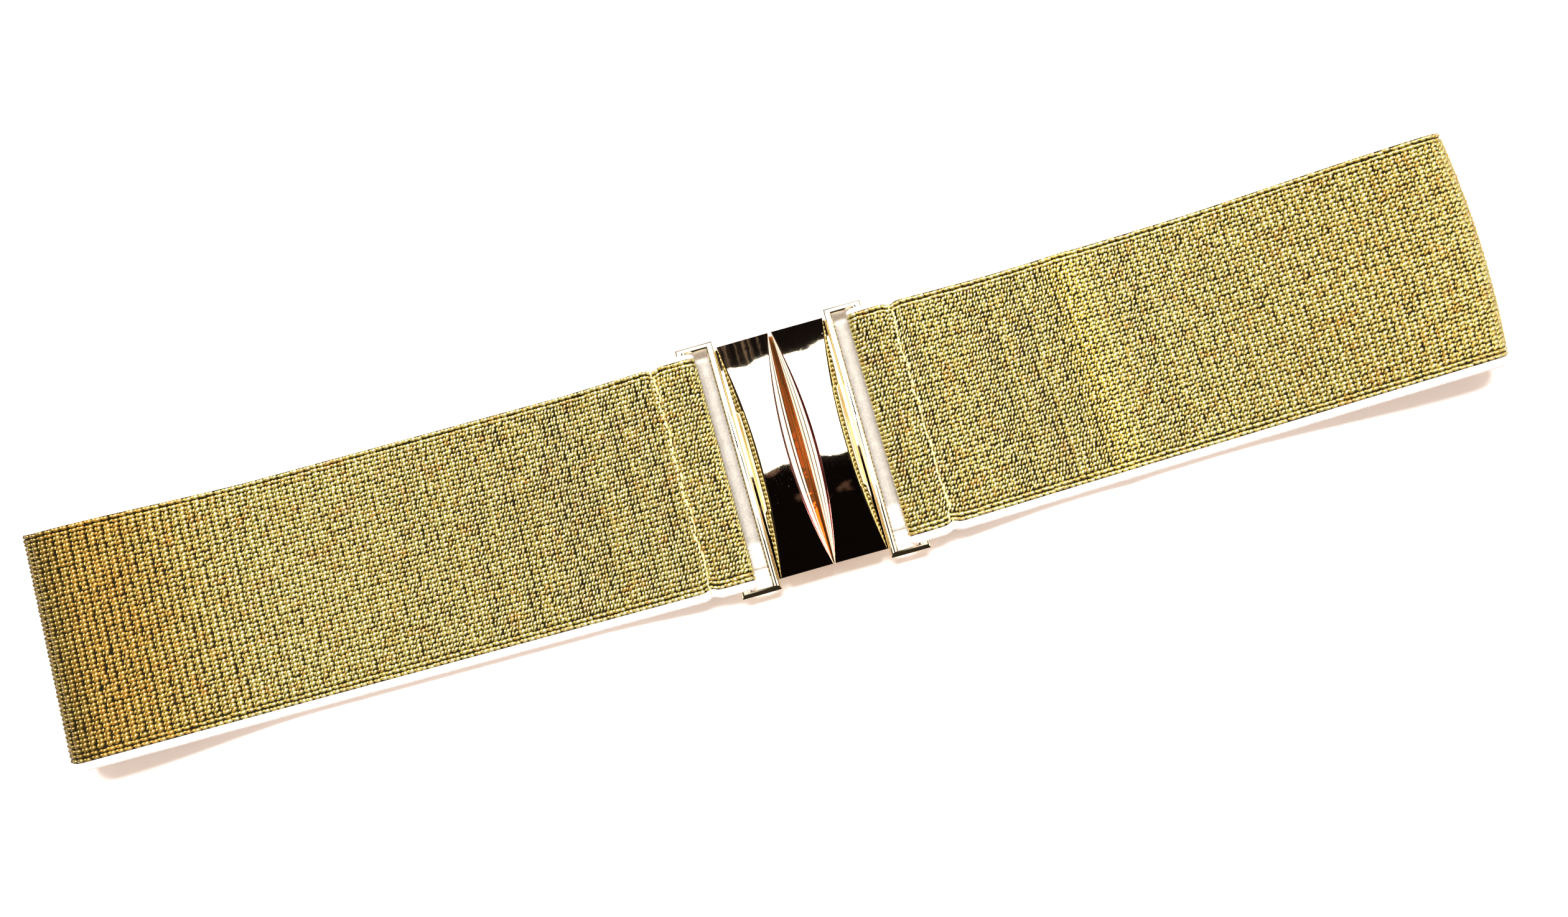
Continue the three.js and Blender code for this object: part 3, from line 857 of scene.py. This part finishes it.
class ThreadField:
    """The gold threads between two places along the webbing: a grid of floats, each with a strand."""

    def __init__(self, groups, path, draws, start, end):
        self.groups, self.path, self.draws = groups, path, draws
        webbing, weave = groups["webbing"], groups["weave"]
        low = -webbing.width / 2 + webbing.near_selvedge
        high = webbing.width / 2 - webbing.far_selvedge
        self.pitch = (high - low) / weave.rows
        grid = np.meshgrid(float_columns(path, weave, start, end), np.arange(weave.rows), indexing="ij")
        column, row = [axis.ravel() for axis in grid]
        self.size = len(row)
        self.jitter = draws.normal(0, 1, (self.size, len(FLOAT_JITTER))) * FLOAT_JITTER
        self.beside = np.minimum(row, weave.rows - 1 - row) < weave.edge_rows
        self.run = column + self.jitter[:, 0] + np.where(self.beside, 0.0, ROW_SHIFT * (row % 2))
        self.across = low + (row + 0.5) * self.pitch + self.jitter[:, 1]
        self.fine = np.where(self.beside, 0.0, fine_share(path, self.run))

    def lay(self, run, across, slant, sizes, template, painted_light, darker=0.0, lift=0.0):
        """Points and faces of one thread for each place, and for each point its run, tone and share of
        painted light.
        """
        points, faces = threads(self.path, self.groups, run, across, slant, sizes, template, lift)
        # Painted highlight: the threads at the crease get a brighter tone
        lighter = 0.12 * bump(self.run - self.path.crease_run(), CREASE_TONE)
        tone = np.clip(self.draws.normal(TONE, TONE_SPREAD, self.size) - darker + lighter, 0, 1)
        each = len(template[0])
        return {
            "points": points,
            "faces": faces,
            "run": np.repeat(run, each),
            "tone": np.repeat(tone, each),
            "painted_light": painted_light.ravel(),
        }

    def floats(self):
        """The slanted floats, which lie straight beside a selvedge."""
        weave, fine = self.groups["weave"], self.fine
        slant, long, wide, tall = self.jitter[:, 2:].T
        slant = np.where(self.beside, 0.12, weave.slant + 0.35 * fine + slant)
        sizes = np.column_stack(
            [
                weave.float_length * (1 - 0.14 * fine + long),
                weave.float_width * (1 - 0.34 * fine + wide),
                weave.float_height * (1 + tall),
            ]
        )
        template = dome(FLOAT_RINGS, 4, 0.35)
        painted_light = np.tile(template[2], self.size)
        return self.lay(self.run, self.across, slant, sizes, template, painted_light, 0.12 * self.beside, lift=0.2)

    def strands(self):
        """The finer strands between the floats, fuller where the weave looks finer."""
        weave, draws, fine = self.groups["weave"], self.draws, self.fine[:, None]
        run = self.run + 0.43 * weave.pitch + 0.06 * MM * draws.normal(0, 1, self.size)
        sizes = np.tile([weave.strand_length, weave.strand_width, weave.strand_height], (self.size, 1))
        sizes *= 1 + 0.07 * draws.normal(0, 1, (self.size, 1))
        sizes *= 1 + fine * (0.16, 0.3, 0.26)
        slant = np.where(self.beside, 0.3, weave.strand_slant + 0.14 * draws.normal(0, 1, self.size))
        template = dome(STRAND_RINGS, 2)
        painted_light = (1.12 + 0.25 * fine) * template[2]
        return self.lay(run, self.across + 0.16 * self.pitch, slant, sizes, template, painted_light)


class BELT_OT_weave(bpy.types.Operator):
    """Lay the gold threads on the webbing's outer face, as slanted floats with finer strands between them"""

    bl_idname = "belt.make_weave"
    bl_label = "Gold threads"

    def execute(self, context):
        groups = settings(context)
        path, draws = WebbingPath(groups), np.random.default_rng(WEAVE_SEED)
        material = gold_thread_material(groups["finishes"])
        left, right, end = [path.marks[mark] for mark in ("left_fold", "right_fold", "end")]
        bend = left - math.pi * Levels(groups).fold_radius / 2
        spans = {
            "gold_threads_left": (WEAVE_INSET, left),
            "gold_threads_back_left": (left, (left + right) / 2),
            "gold_threads_back_right": ((left + right) / 2, right),
            "gold_threads_right": (right, end - WEAVE_INSET),
        }
        for name, span in spans.items():
            field = ThreadField(groups, path, draws, *span)
            floats, strands = field.floats(), field.strands()
            strands["faces"] += len(floats["points"])
            laid = {key: np.concatenate([floats[key], strands[key]]) for key in floats}
            faces, run = laid["faces"].tolist(), laid["run"]
            piece = new_piece(context, groups, name, laid["points"], faces, [material])
            # Painted highlight along the crease: brighter gold and a brighter tone
            in_crease = bump(run - path.crease_run(), CREASE_TONE)
            brown = -0.3 * in_crease
            # Painted warm reflection: browner near the left fold, a little near the right
            for mark, beyond, full, fade, strength in WARM_REFLECTION_STRETCHES:
                brown += strength * near_place(run, path.marks[mark] + beyond, full, fade)
            store(piece, "tone", laid["tone"])
            # Share of painted light: a little stronger where the weave looks finer, weaker at the crease
            store(piece, "painted_light", laid["painted_light"] * (0.94 + 0.06 * fine_share(path, run) - 0.08 * in_crease))
            store(piece, "brown", brown)
            # Painted shade on the left fold's bend
            store(piece, "olive", near_place(run, bend, *BEND_REACH))
        return {"FINISHED"}


# The stitch rows: distance from the webbing's edges, a stitch's width, and the heights of every other stitch
STITCH_MARGIN = 0.5 * MM
STITCH_WIDTH = 0.55 * MM
STITCH_HEIGHTS = (0.5 * MM, 0.62 * MM)


class BELT_OT_stitches(bpy.types.Operator):
    """Sew the two turned-back ends down with a row of pale stitches"""

    bl_idname = "belt.make_stitches"
    bl_label = "Stitch rows"

    def execute(self, context):
        groups = settings(context)
        webbing, finishes, levels = groups["webbing"], groups["finishes"], Levels(groups)
        path, draws = WebbingPath(groups), np.random.default_rng(STITCH_SEED)
        material = textile_material("Stitch Thread", finishes.stitches, STITCH_SHADE, 3600.0, 0.1 * MM)
        count = round((webbing.width - 1.2 * MM) / webbing.stitch)
        step = (webbing.width - 2 * STITCH_MARGIN) / count
        order = np.arange(count)
        across = -webbing.width / 2 + STITCH_MARGIN + (order + 0.5) * step
        from_bar = webbing.stitch_inset - levels.turn_radius - levels.half
        template = dome(STITCH_RINGS, 6)
        for side, name in ((-1, "left_stitch_row"), (1, "right_stitch_row")):
            places = np.flatnonzero((path.rows[:, PART] == FRONT) & (np.sign(path.rows[:, X]) == side))
            here = path.run[places[np.argmin(np.abs(path.rows[places, DISTANCE] - from_bar))]]
            wander = 0.25 * MM * np.sin(order * 1.3) + 0.14 * MM * draws.normal(0, 1, count)
            sizes = np.column_stack(
                [
                    np.full(count, step * 1.02),
                    STITCH_WIDTH * (1 + 0.12 * draws.normal(0, 1, count)),
                    np.where(order % 2, *STITCH_HEIGHTS) * (1 + 0.05 * draws.normal(0, 1, count)),
                ]
            )
            slant = math.pi / 2 + 0.12 * draws.normal(0, 1, count)
            points, faces = threads(path, groups, here + wander, across, slant, sizes, template)
            new_piece(context, groups, name, points, faces.tolist(), [material])
        return {"FINISHED"}


# The slot frame's section, from its outer to its inner side: share of a bar's width, share of the far arm's
# width, share of the near arm's width, and distance below the crown's top in mm
FRAME_SECTION = (
    (0.0, 0.0, 0.0, 0.72),
    (0.02, 0.03, 0.03, 0.62),
    (0.13, 0.08, 0.43, 0.31),
    (0.2, 0.2, 0.63, 0.16),
    (0.32, 0.4, 0.76, 0.06),
    (0.5, 0.6, 0.84, 0.0),
    (0.7, 0.71, 0.88, 0.04),
    (0.84, 0.78, 0.91, 0.12),
    (0.98, 0.97, 0.98, 0.36),
    (1.0, 1.0, 1.0, 0.45),
)


def frame_ring(groups, levels, side):
    """The slot frame: a mitred ring with a crowned top and rounded edges, as loops of four corners."""
    clasp = groups["clasp"]
    outer = (clasp.bar_start, levels.frame_end)
    inner = (clasp.bar_start + clasp.bar_width, levels.hidden_start)
    frame_half = groups["webbing"].width / 2 + clasp.clearance + clasp.arm_width
    bottom, top = levels.bar_bottom, levels.bar + clasp.frame_thickness / 2
    profile = [(0.0, 0.0, 0.0, bottom + clasp.edge)]
    profile += [(bar, far_arm, near_arm, top - drop * MM) for bar, far_arm, near_arm, drop in FRAME_SECTION]
    profile += [(1.0, 1.0, 1.0, bottom + clasp.edge), (0.94, 0.94, 0.94, bottom), (0.06, 0.06, 0.06, bottom)]
    points, faces, count = [], [], len(profile)
    for bar, far_arm, near_arm, height in profile:
        seam_side = side * (outer[0] + (inner[0] - outer[0]) * bar)
        strap_side = side * (outer[1] + (inner[1] - outer[1]) * bar)
        low, high = clasp.arm_width * near_arm - frame_half, frame_half - clasp.arm_width * far_arm
        points += [(seam_side, low, height), (strap_side, low, height)]
        points += [(strap_side, high, height), (seam_side, high, height)]
    for ring in range(count):
        after = (ring + 1) % count
        for corner in range(4):
            beyond = (corner + 1) % 4
            faces.append([ring * 4 + corner, ring * 4 + beyond, after * 4 + beyond, after * 4 + corner])
    return points, faces, [PALE] * len(faces)


def arc_rise(share, half_chord, rise):
    """Height of a circular arc over its chord, which runs from share -1 to 1, with its rise in the middle."""
    radius = (half_chord**2 + rise**2) / (2 * rise)
    return math.sqrt(radius**2 - (share * half_chord) ** 2) - (radius - rise)


# The seam side of each plate, from its top edge down to the seam: share of the waist along the belt, share of
# the waist downwards, and the step's colour: pale plating, rose or olive painted reflection, or deep gold
# painted shade and reflection
SEAM_STEPS = {
    -1: (
        (0.13, 0.2, ROSE),
        (0.3, 0.06, PALE),
        (0.095, 0.17, ROSE),
        (0.13, 0.03, PALE),
        (0.06, 0.1, ROSE),
        (0.285, 0.4, DEEP),
    ),
    1: (
        (0.17, 0.25, ROSE),
        (0.19, 0.04, PALE),
        (0.06, 0.1, OLIVE),
        (0.19, 0.05, PALE),
        (0.06, 0.1, OLIVE),
        (0.15, 0.05, PALE),
        (0.18, 0.37, DEEP),
    ),
}
# Sections along a plate, and its outer bevel's width as a share of the outer waist and its slope
PLATE_SECTIONS = 72
BEVEL_SHARE, BEVEL_SLOPE = 0.9, 1.22


def plate_body(groups, levels, side):
    """The hourglass plate on its slab: an even outer bevel, and fine steps down to the seam."""
    clasp = groups["clasp"]
    start, end = clasp.clearance / 2, clasp.bar_start - clasp.plate_groove
    base = levels.bar_bottom + clasp.plate_slab
    top = base + clasp.plate_rise
    half, edge = clasp.plate_length / 2, clasp.edge
    under_bar = clasp.bar_start + 0.5 * clasp.bar_width
    points, kinds = [], []
    for step in range(PLATE_SECTIONS + 1):
        share = 2 * step / PLATE_SECTIONS - 1
        seam_rise = arc_rise(share, half, clasp.seam_waist)
        outer_rise = arc_rise(share, half, clasp.outer_waist)
        ring = [(start, levels.bar_bottom), (start, base)]
        # The lowest seam wall gets the deep gold: painted shade and reflection
        kinds = [PALE, DEEP]
        x, z, climb = start + seam_rise, top - 0.5 * edge, []
        for forth, down, kind in SEAM_STEPS[side]:
            climb.append((x, z, kind))
            x, z = x - forth * seam_rise, z - down * seam_rise
        ring.append((x, z))
        for x, z, kind in reversed(climb):
            kinds.append(kind)
            ring.append((x, z))
        kinds.append(PALE)
        ring += [(start + seam_rise + 0.5 * edge, top), (start + seam_rise + 1.6 * edge, top)]
        ring += [(end - outer_rise - 1.6 * edge, top), (end - outer_rise - 0.5 * edge, top)]
        bevel, rim = BEVEL_SHARE * outer_rise, top - 0.3 * edge
        ring += [(end - outer_rise, rim), (end - outer_rise + bevel, rim - BEVEL_SLOPE * bevel)]
        ring += [(end, base), (under_bar, base), (under_bar, levels.bar_bottom)]
        points += [(side * x, share * half, z) for x, z in ring]
        kinds += [PALE] * (len(ring) - len(kinds))
    return points, loft_faces(PLATE_SECTIONS + 1, len(kinds)), kinds * PLATE_SECTIONS + [PALE, PALE]


def box_body(x_from, x_to, half, bottom, top):
    """A plain box, for what the clasp hides."""
    corners = [(x, y, z) for z in (bottom, top) for y in (-half, half) for x in (x_from, x_to)]
    faces = [[0, 2, 3, 1], [4, 5, 7, 6], [0, 1, 5, 4], [2, 6, 7, 3], [0, 4, 6, 2], [1, 3, 7, 5]]
    return corners, faces, [PALE] * len(faces)


def shade_lip_body(half_width, half, bottom, high, low):
    """The lip under the seam, a dark piece that paints the seam's shade: a slope that falls from the left
    half to the right one.
    """
    section = [(-half_width, bottom), (half_width, bottom), (half_width, low), (-half_width, high)]
    corners = [(x, y, z) for y in (-half, half) for x, z in section]
    faces = [[0, 1, 2, 3], [7, 6, 5, 4], [0, 4, 5, 1], [1, 5, 6, 2], [2, 6, 7, 3], [3, 7, 4, 0]]
    return corners, faces, [DEEP] * len(faces)


def hook_bodies(clasp, levels):
    """What the left half has under the seam: the hidden hook, its root under the plate, and the lip, which
    paints the seam's shade.
    """
    top = levels.bar_bottom - clasp.clearance
    bottom = top - clasp.hook_thickness
    root_top = levels.bar_bottom + clasp.plate_slab / 2
    lip_low = top + 0.08 * MM
    return [
        box_body(-clasp.hook_root, clasp.hook_reach, clasp.hook_width / 2, bottom, top),
        box_body(-clasp.hook_root, -0.5 * MM, clasp.hook_width / 2, bottom, root_top),
        shade_lip_body(clasp.lip, clasp.plate_length / 2 - clasp.edge, bottom, lip_low + clasp.lip_rise, lip_low),
    ]


def join_bodies(bodies):
    """Puts several bodies into one list of points and faces."""
    points, faces, kinds = [], [], []
    for more, more_faces, more_kinds in bodies:
        faces += [[place + len(points) for place in face] for face in more_faces]
        points += list(more)
        kinds += more_kinds
    return points, faces, kinds


class BELT_OT_clasp(bpy.types.Operator):
    """Make both clasp halves: slot frame, hourglass plate, the lip under the seam as painted shade, and the
    hidden hook
    """

    bl_idname = "belt.make_clasp"
    bl_label = "Clasp"

    def execute(self, context):
        groups = settings(context)
        clasp, finishes, levels = groups["clasp"], groups["finishes"], Levels(groups)
        # Besides the plating: rose and olive painted reflection, and deep gold painted shade and reflection
        materials = [
            plating_material("Clasp Plating", finishes.plating),
            plating_material("Rose Painted Reflection", finishes.rose),
            plating_material("Deep Gold Shade And Reflection", finishes.deep, wave=0.2, metallic=0.8),
            plating_material("Olive Painted Reflection", finishes.olive),
        ]
        for side, name in ((-1, "left_clasp"), (1, "right_clasp")):
            bodies = [frame_ring(groups, levels, side), plate_body(groups, levels, side)]
            if side < 0:
                bodies += hook_bodies(clasp, levels)
            points, faces, kinds = join_bodies(bodies)
            points = on_clasp(groups, side, points)
            node = f"{name}_half"
            piece = new_piece(context, groups, name, points, faces, materials, node=node)
            piece.data.polygons.foreach_set("material_index", kinds)
            fix_normals(piece.data)
            piece.data.set_sharp_from_angle(angle=math.radians(28))
        return {"FINISHED"}


def fix_normals(mesh):
    """Turns every face of a closed mesh outwards."""
    work = bmesh.new()
    work.from_mesh(mesh)
    bmesh.ops.recalc_face_normals(work, faces=work.faces[:])
    work.to_mesh(mesh)
    work.free()


# The floor: half its side in metres, the second colour of its grain, and its painted glow near the belt and
# far from it, with the distances between which the glow changes
FLOOR_REACH = 4.0
FLOOR_GRAIN = (0.8, 0.8, 0.8)
GLOW_NEAR, GLOW_FAR = (0.11, 0.068, 0.05), (0.2, 0.33, 0.42)
GLOW_CHANGE = (0.4, 1.4)
# What the polished plates mirror overhead, as slopes from straight up: from and to along +Y, then along +X
DARK_PATCH = (-0.14, 0.088, -0.16, 0.2)
BRIGHT_PATCH = (0.088, 0.186, -0.3, 0.34)
RAIL = (0.186, 0.27, -0.3, 0.34)
# Smeared lines in the dark patch, from and to along +Y, and the softness of every edge overhead
DARK_LINES = ((0.079, 0.088), (0.05, 0.06))
EDGE_SOFTNESS = 0.0006
# Light from the room: seen by the camera, by polished metal low down and high up, and in the bright patch
CAMERA_LIGHT = (0.95, 0.945, 0.94)
LOW_LIGHT, HIGH_LIGHT = (0.03, 0.025, 0.018), (1.7, 1.7, 1.7)
PATCH_LIGHT = (4.0, 4.0, 4.0)
# The dark patch and the rail, each with the colour of its lines
DARK_COLOURS = (0.003, 0.002, 0.002), (0.11, 0.06, 0.045)
RAIL_COLOURS = (0.006, 0.004, 0.004), (0.3, 0.22, 0.17)
# The key light: its sides and its distance in metres, its lean towards +Y and its colour
KEY_SIDES, KEY_DISTANCE = (0.8, 0.3), 1.25
KEY_LEAN = math.radians(22.5)
KEY_COLOUR = (0.98, 0.99, 1.0)


class BELT_OT_stage(bpy.types.Operator):
    """Set up the floor, the room light, the key light and the camera"""

    bl_idname = "belt.make_stage"
    bl_label = "Studio"

    def execute(self, context):
        groups = settings(context)
        self.make_floor(context, groups["studio"])
        self.make_world(context, groups["studio"])
        self.make_key(context, groups["studio"])
        self.make_camera(context, groups)
        view = context.scene.view_settings
        view.view_transform = "Standard"
        view.look = "None"
        view.exposure = 0.0
        view.gamma = 1.0
        return {"FINISHED"}

    def make_floor(self, context, studio):
        """A plain pale floor with a painted glow: peach near the belt, which lightens and warms its shadows,
        and bluish far off, which keeps it white.
        """
        material, nodes, shader = new_material("Studio Floor")
        grain = nodes.math("MULTIPLY", nodes.noise(40.0, 3.0), 0.02)
        nodes.feed(shader.inputs["Base Color"], nodes.mix(grain, rgba(studio.floor), rgba(FLOOR_GRAIN)))
        shader.inputs["Roughness"].default_value = 0.9
        shader.inputs["Specular IOR Level"].default_value = 0.1
        away = nodes.add("ShaderNodeVectorMath", {0: nodes.local()}, operation="LENGTH").outputs["Value"]
        glow = nodes.mix(nodes.spread(away, *GLOW_CHANGE), rgba(GLOW_NEAR), rgba(GLOW_FAR))
        nodes.feed(shader.inputs["Emission Color"], glow)
        shader.inputs["Emission Strength"].default_value = 1.0
        corners = [(x * FLOOR_REACH, y * FLOOR_REACH, 0) for x, y in ((-1, -1), (1, -1), (1, 1), (-1, 1))]
        mesh = bpy.data.meshes.new("studio_floor")
        mesh.from_pydata(corners, [], [(0, 1, 2, 3)])
        mesh.materials.append(material)
        floor = bpy.data.objects.new("studio_floor", mesh)
        context.scene.collection.objects.link(floor)

    def make_world(self, context, studio):
        """Plain room light, with a bright patch and two dark ones overhead for the polished plates."""
        world = bpy.data.worlds.new("Studio Room")
        context.scene.world = world
        world.use_nodes = True
        nodes = Nodes(world.node_tree)
        background = world.node_tree.nodes["Background"]
        direction = nodes.add("ShaderNodeTexCoord").outputs["Generated"]
        across, forth, height = nodes.add("ShaderNodeSeparateXYZ", {0: direction}).outputs
        up = nodes.math("MAXIMUM", height, 0.05)
        east, north = nodes.math("DIVIDE", across, up), nodes.math("DIVIDE", forth, up)
        waves = nodes.math("SUBTRACT", nodes.noise(16.0, 1.0, 0.5, direction), 0.5)
        nicks = nodes.math("SUBTRACT", nodes.noise(90.0, 3.0, 0.6, direction), 0.5)
        ragged = nodes.math("ADD", nodes.math("MULTIPLY", waves, 0.014), nodes.math("MULTIPLY", nicks, 0.009))
        edge = nodes.math("ADD", north, ragged)
        overhead = nodes.spread(height, 0.8, 0.9)

        def between(value, low, high):
            above = nodes.spread(value, low - EDGE_SOFTNESS, low + EDGE_SOFTNESS)
            below = nodes.spread(value, high + EDGE_SOFTNESS, high - EDGE_SOFTNESS)
            return nodes.math("MULTIPLY", above, below)

        def patch(south, far, west, end):
            inside = nodes.math("MULTIPLY", between(edge, south, far), between(east, west, end))
            return nodes.math("MULTIPLY", inside, overhead)

        lit = nodes.math("ADD", height, nodes.math("MULTIPLY", forth, 0.25))
        lit = nodes.math("ADD", lit, nodes.math("MULTIPLY", across, 0.12))
        room = nodes.mix(nodes.spread(lit, 0.45, 0.93), rgba(LOW_LIGHT), rgba(HIGH_LIGHT))
        smears = nodes.spread(nodes.noise(38.0, 2.0, 0.6, direction), 0.5, 0.62)
        lined = 0.0
        for low, high in DARK_LINES:
            lined = nodes.math("ADD", lined, nodes.math("MULTIPLY", between(edge, low, high), smears))
        shade = nodes.mix(lined, *map(rgba, DARK_COLOURS))
        lines = nodes.add("ShaderNodeCombineXYZ", {"X": nodes.math("MULTIPLY", east, 300.0), "Y": north})
        streaks = nodes.spread(nodes.noise(1.0, 2.0, 0.6, lines), 0.5, 0.68)
        streaks = nodes.math("MULTIPLY", streaks, nodes.spread(east, 0.014, 0.01))
        rail_shade = nodes.mix(nodes.math("MULTIPLY", streaks, 0.6), *map(rgba, RAIL_COLOURS))
        for place, light in ((BRIGHT_PATCH, rgba(PATCH_LIGHT)), (DARK_PATCH, shade), (RAIL, rail_shade)):
            room = nodes.mix(patch(*place), room, light)
        paths = nodes.add("ShaderNodeLightPath")
        plain = nodes.mix(1.0, rgba(studio.sky), rgba([studio.sky_strength] * 3), "MULTIPLY")
        seen = nodes.mix(paths.outputs["Is Camera Ray"], plain, rgba(CAMERA_LIGHT))
        nodes.feed(background.inputs["Color"], nodes.mix(paths.outputs["Is Glossy Ray"], seen, room))
        background.inputs["Strength"].default_value = 1.0

    def make_key(self, context, studio):
        """A broad soft light over the belt, from +Y."""
        light = bpy.data.lights.new("key_light", "AREA")
        light.shape = "RECTANGLE"
        light.size, light.size_y = KEY_SIDES
        light.energy = studio.key_strength
        light.color = KEY_COLOUR
        key = bpy.data.objects.new("key_light", light)
        context.scene.collection.objects.link(key)
        key.location = KEY_DISTANCE * Vector((0.0, math.sin(KEY_LEAN), math.cos(KEY_LEAN)))
        key.rotation_euler = (-KEY_LEAN, 0.0, 0.0)

    def make_camera(self, context, groups):
        """The camera nearly straight over the belt, turned so that the belt climbs to the right."""
        studio = groups["studio"]
        camera = bpy.data.objects.new("camera", bpy.data.cameras.new("camera"))
        camera.data.sensor_width = 36.0
        camera.data.lens = studio.lens
        camera.data.clip_start, camera.data.clip_end = 0.01, 20.0
        context.scene.collection.objects.link(camera)
        context.scene.camera = camera
        tilt, pan, roll = studio.tilt, studio.pan, studio.roll
        right = Vector((math.cos(pan), math.sin(tilt) * math.sin(pan), -math.cos(tilt) * math.sin(pan)))
        up = Vector((0, math.cos(tilt), math.sin(tilt)))
        back = Vector((math.sin(pan), -math.sin(tilt) * math.cos(pan), math.cos(tilt) * math.cos(pan)))
        unroll = Matrix.Rotation(-roll, 3, "Z")
        axes = [unroll @ axis for axis in (right, up, back)]
        place = origin_shift(groups) + [studio.camera_x, studio.camera_y, studio.camera_height]
        rows = [[axis[row] for axis in axes] + [place[row]] for row in range(3)]
        camera.matrix_world = Matrix(rows + [[0, 0, 0, 1]])


class BELT_PT_panel(bpy.types.Panel):
    """Sizes, colours and pieces of the stretch belt"""

    bl_idname = "BELT_PT_panel"
    bl_label = "Stretch Belt"
    bl_space_type = "VIEW_3D"
    bl_region_type = "UI"
    bl_category = "Stretch Belt"

    def draw(self, context):
        for operator in OPERATORS:
            self.layout.operator(operator.bl_idname)
        for name, group in GROUPS.items():
            box = self.layout.box()
            box.label(text=group.__doc__.splitlines()[0])
            for key in group.__annotations__:
                box.prop(getattr(context.scene, name), key)


OPERATORS = (BELT_OT_stage, BELT_OT_strap, BELT_OT_weave, BELT_OT_stitches, BELT_OT_clasp)


def register():
    for cls in (*GROUPS.values(), *OPERATORS, BELT_PT_panel):
        bpy.utils.register_class(cls)
    for name, group in GROUPS.items():
        setattr(bpy.types.Scene, name, PointerProperty(type=group))


def unregister():
    for name in GROUPS:
        delattr(bpy.types.Scene, name)
    for cls in (BELT_PT_panel, *reversed(OPERATORS), *reversed(GROUPS.values())):
        bpy.utils.unregister_class(cls)


def main():
    register()
    bpy.ops.belt.make_stage()
    bpy.ops.belt.make_strap()
    bpy.ops.belt.make_weave()
    bpy.ops.belt.make_stitches()
    bpy.ops.belt.make_clasp()


if __name__ == "__main__":
    main()
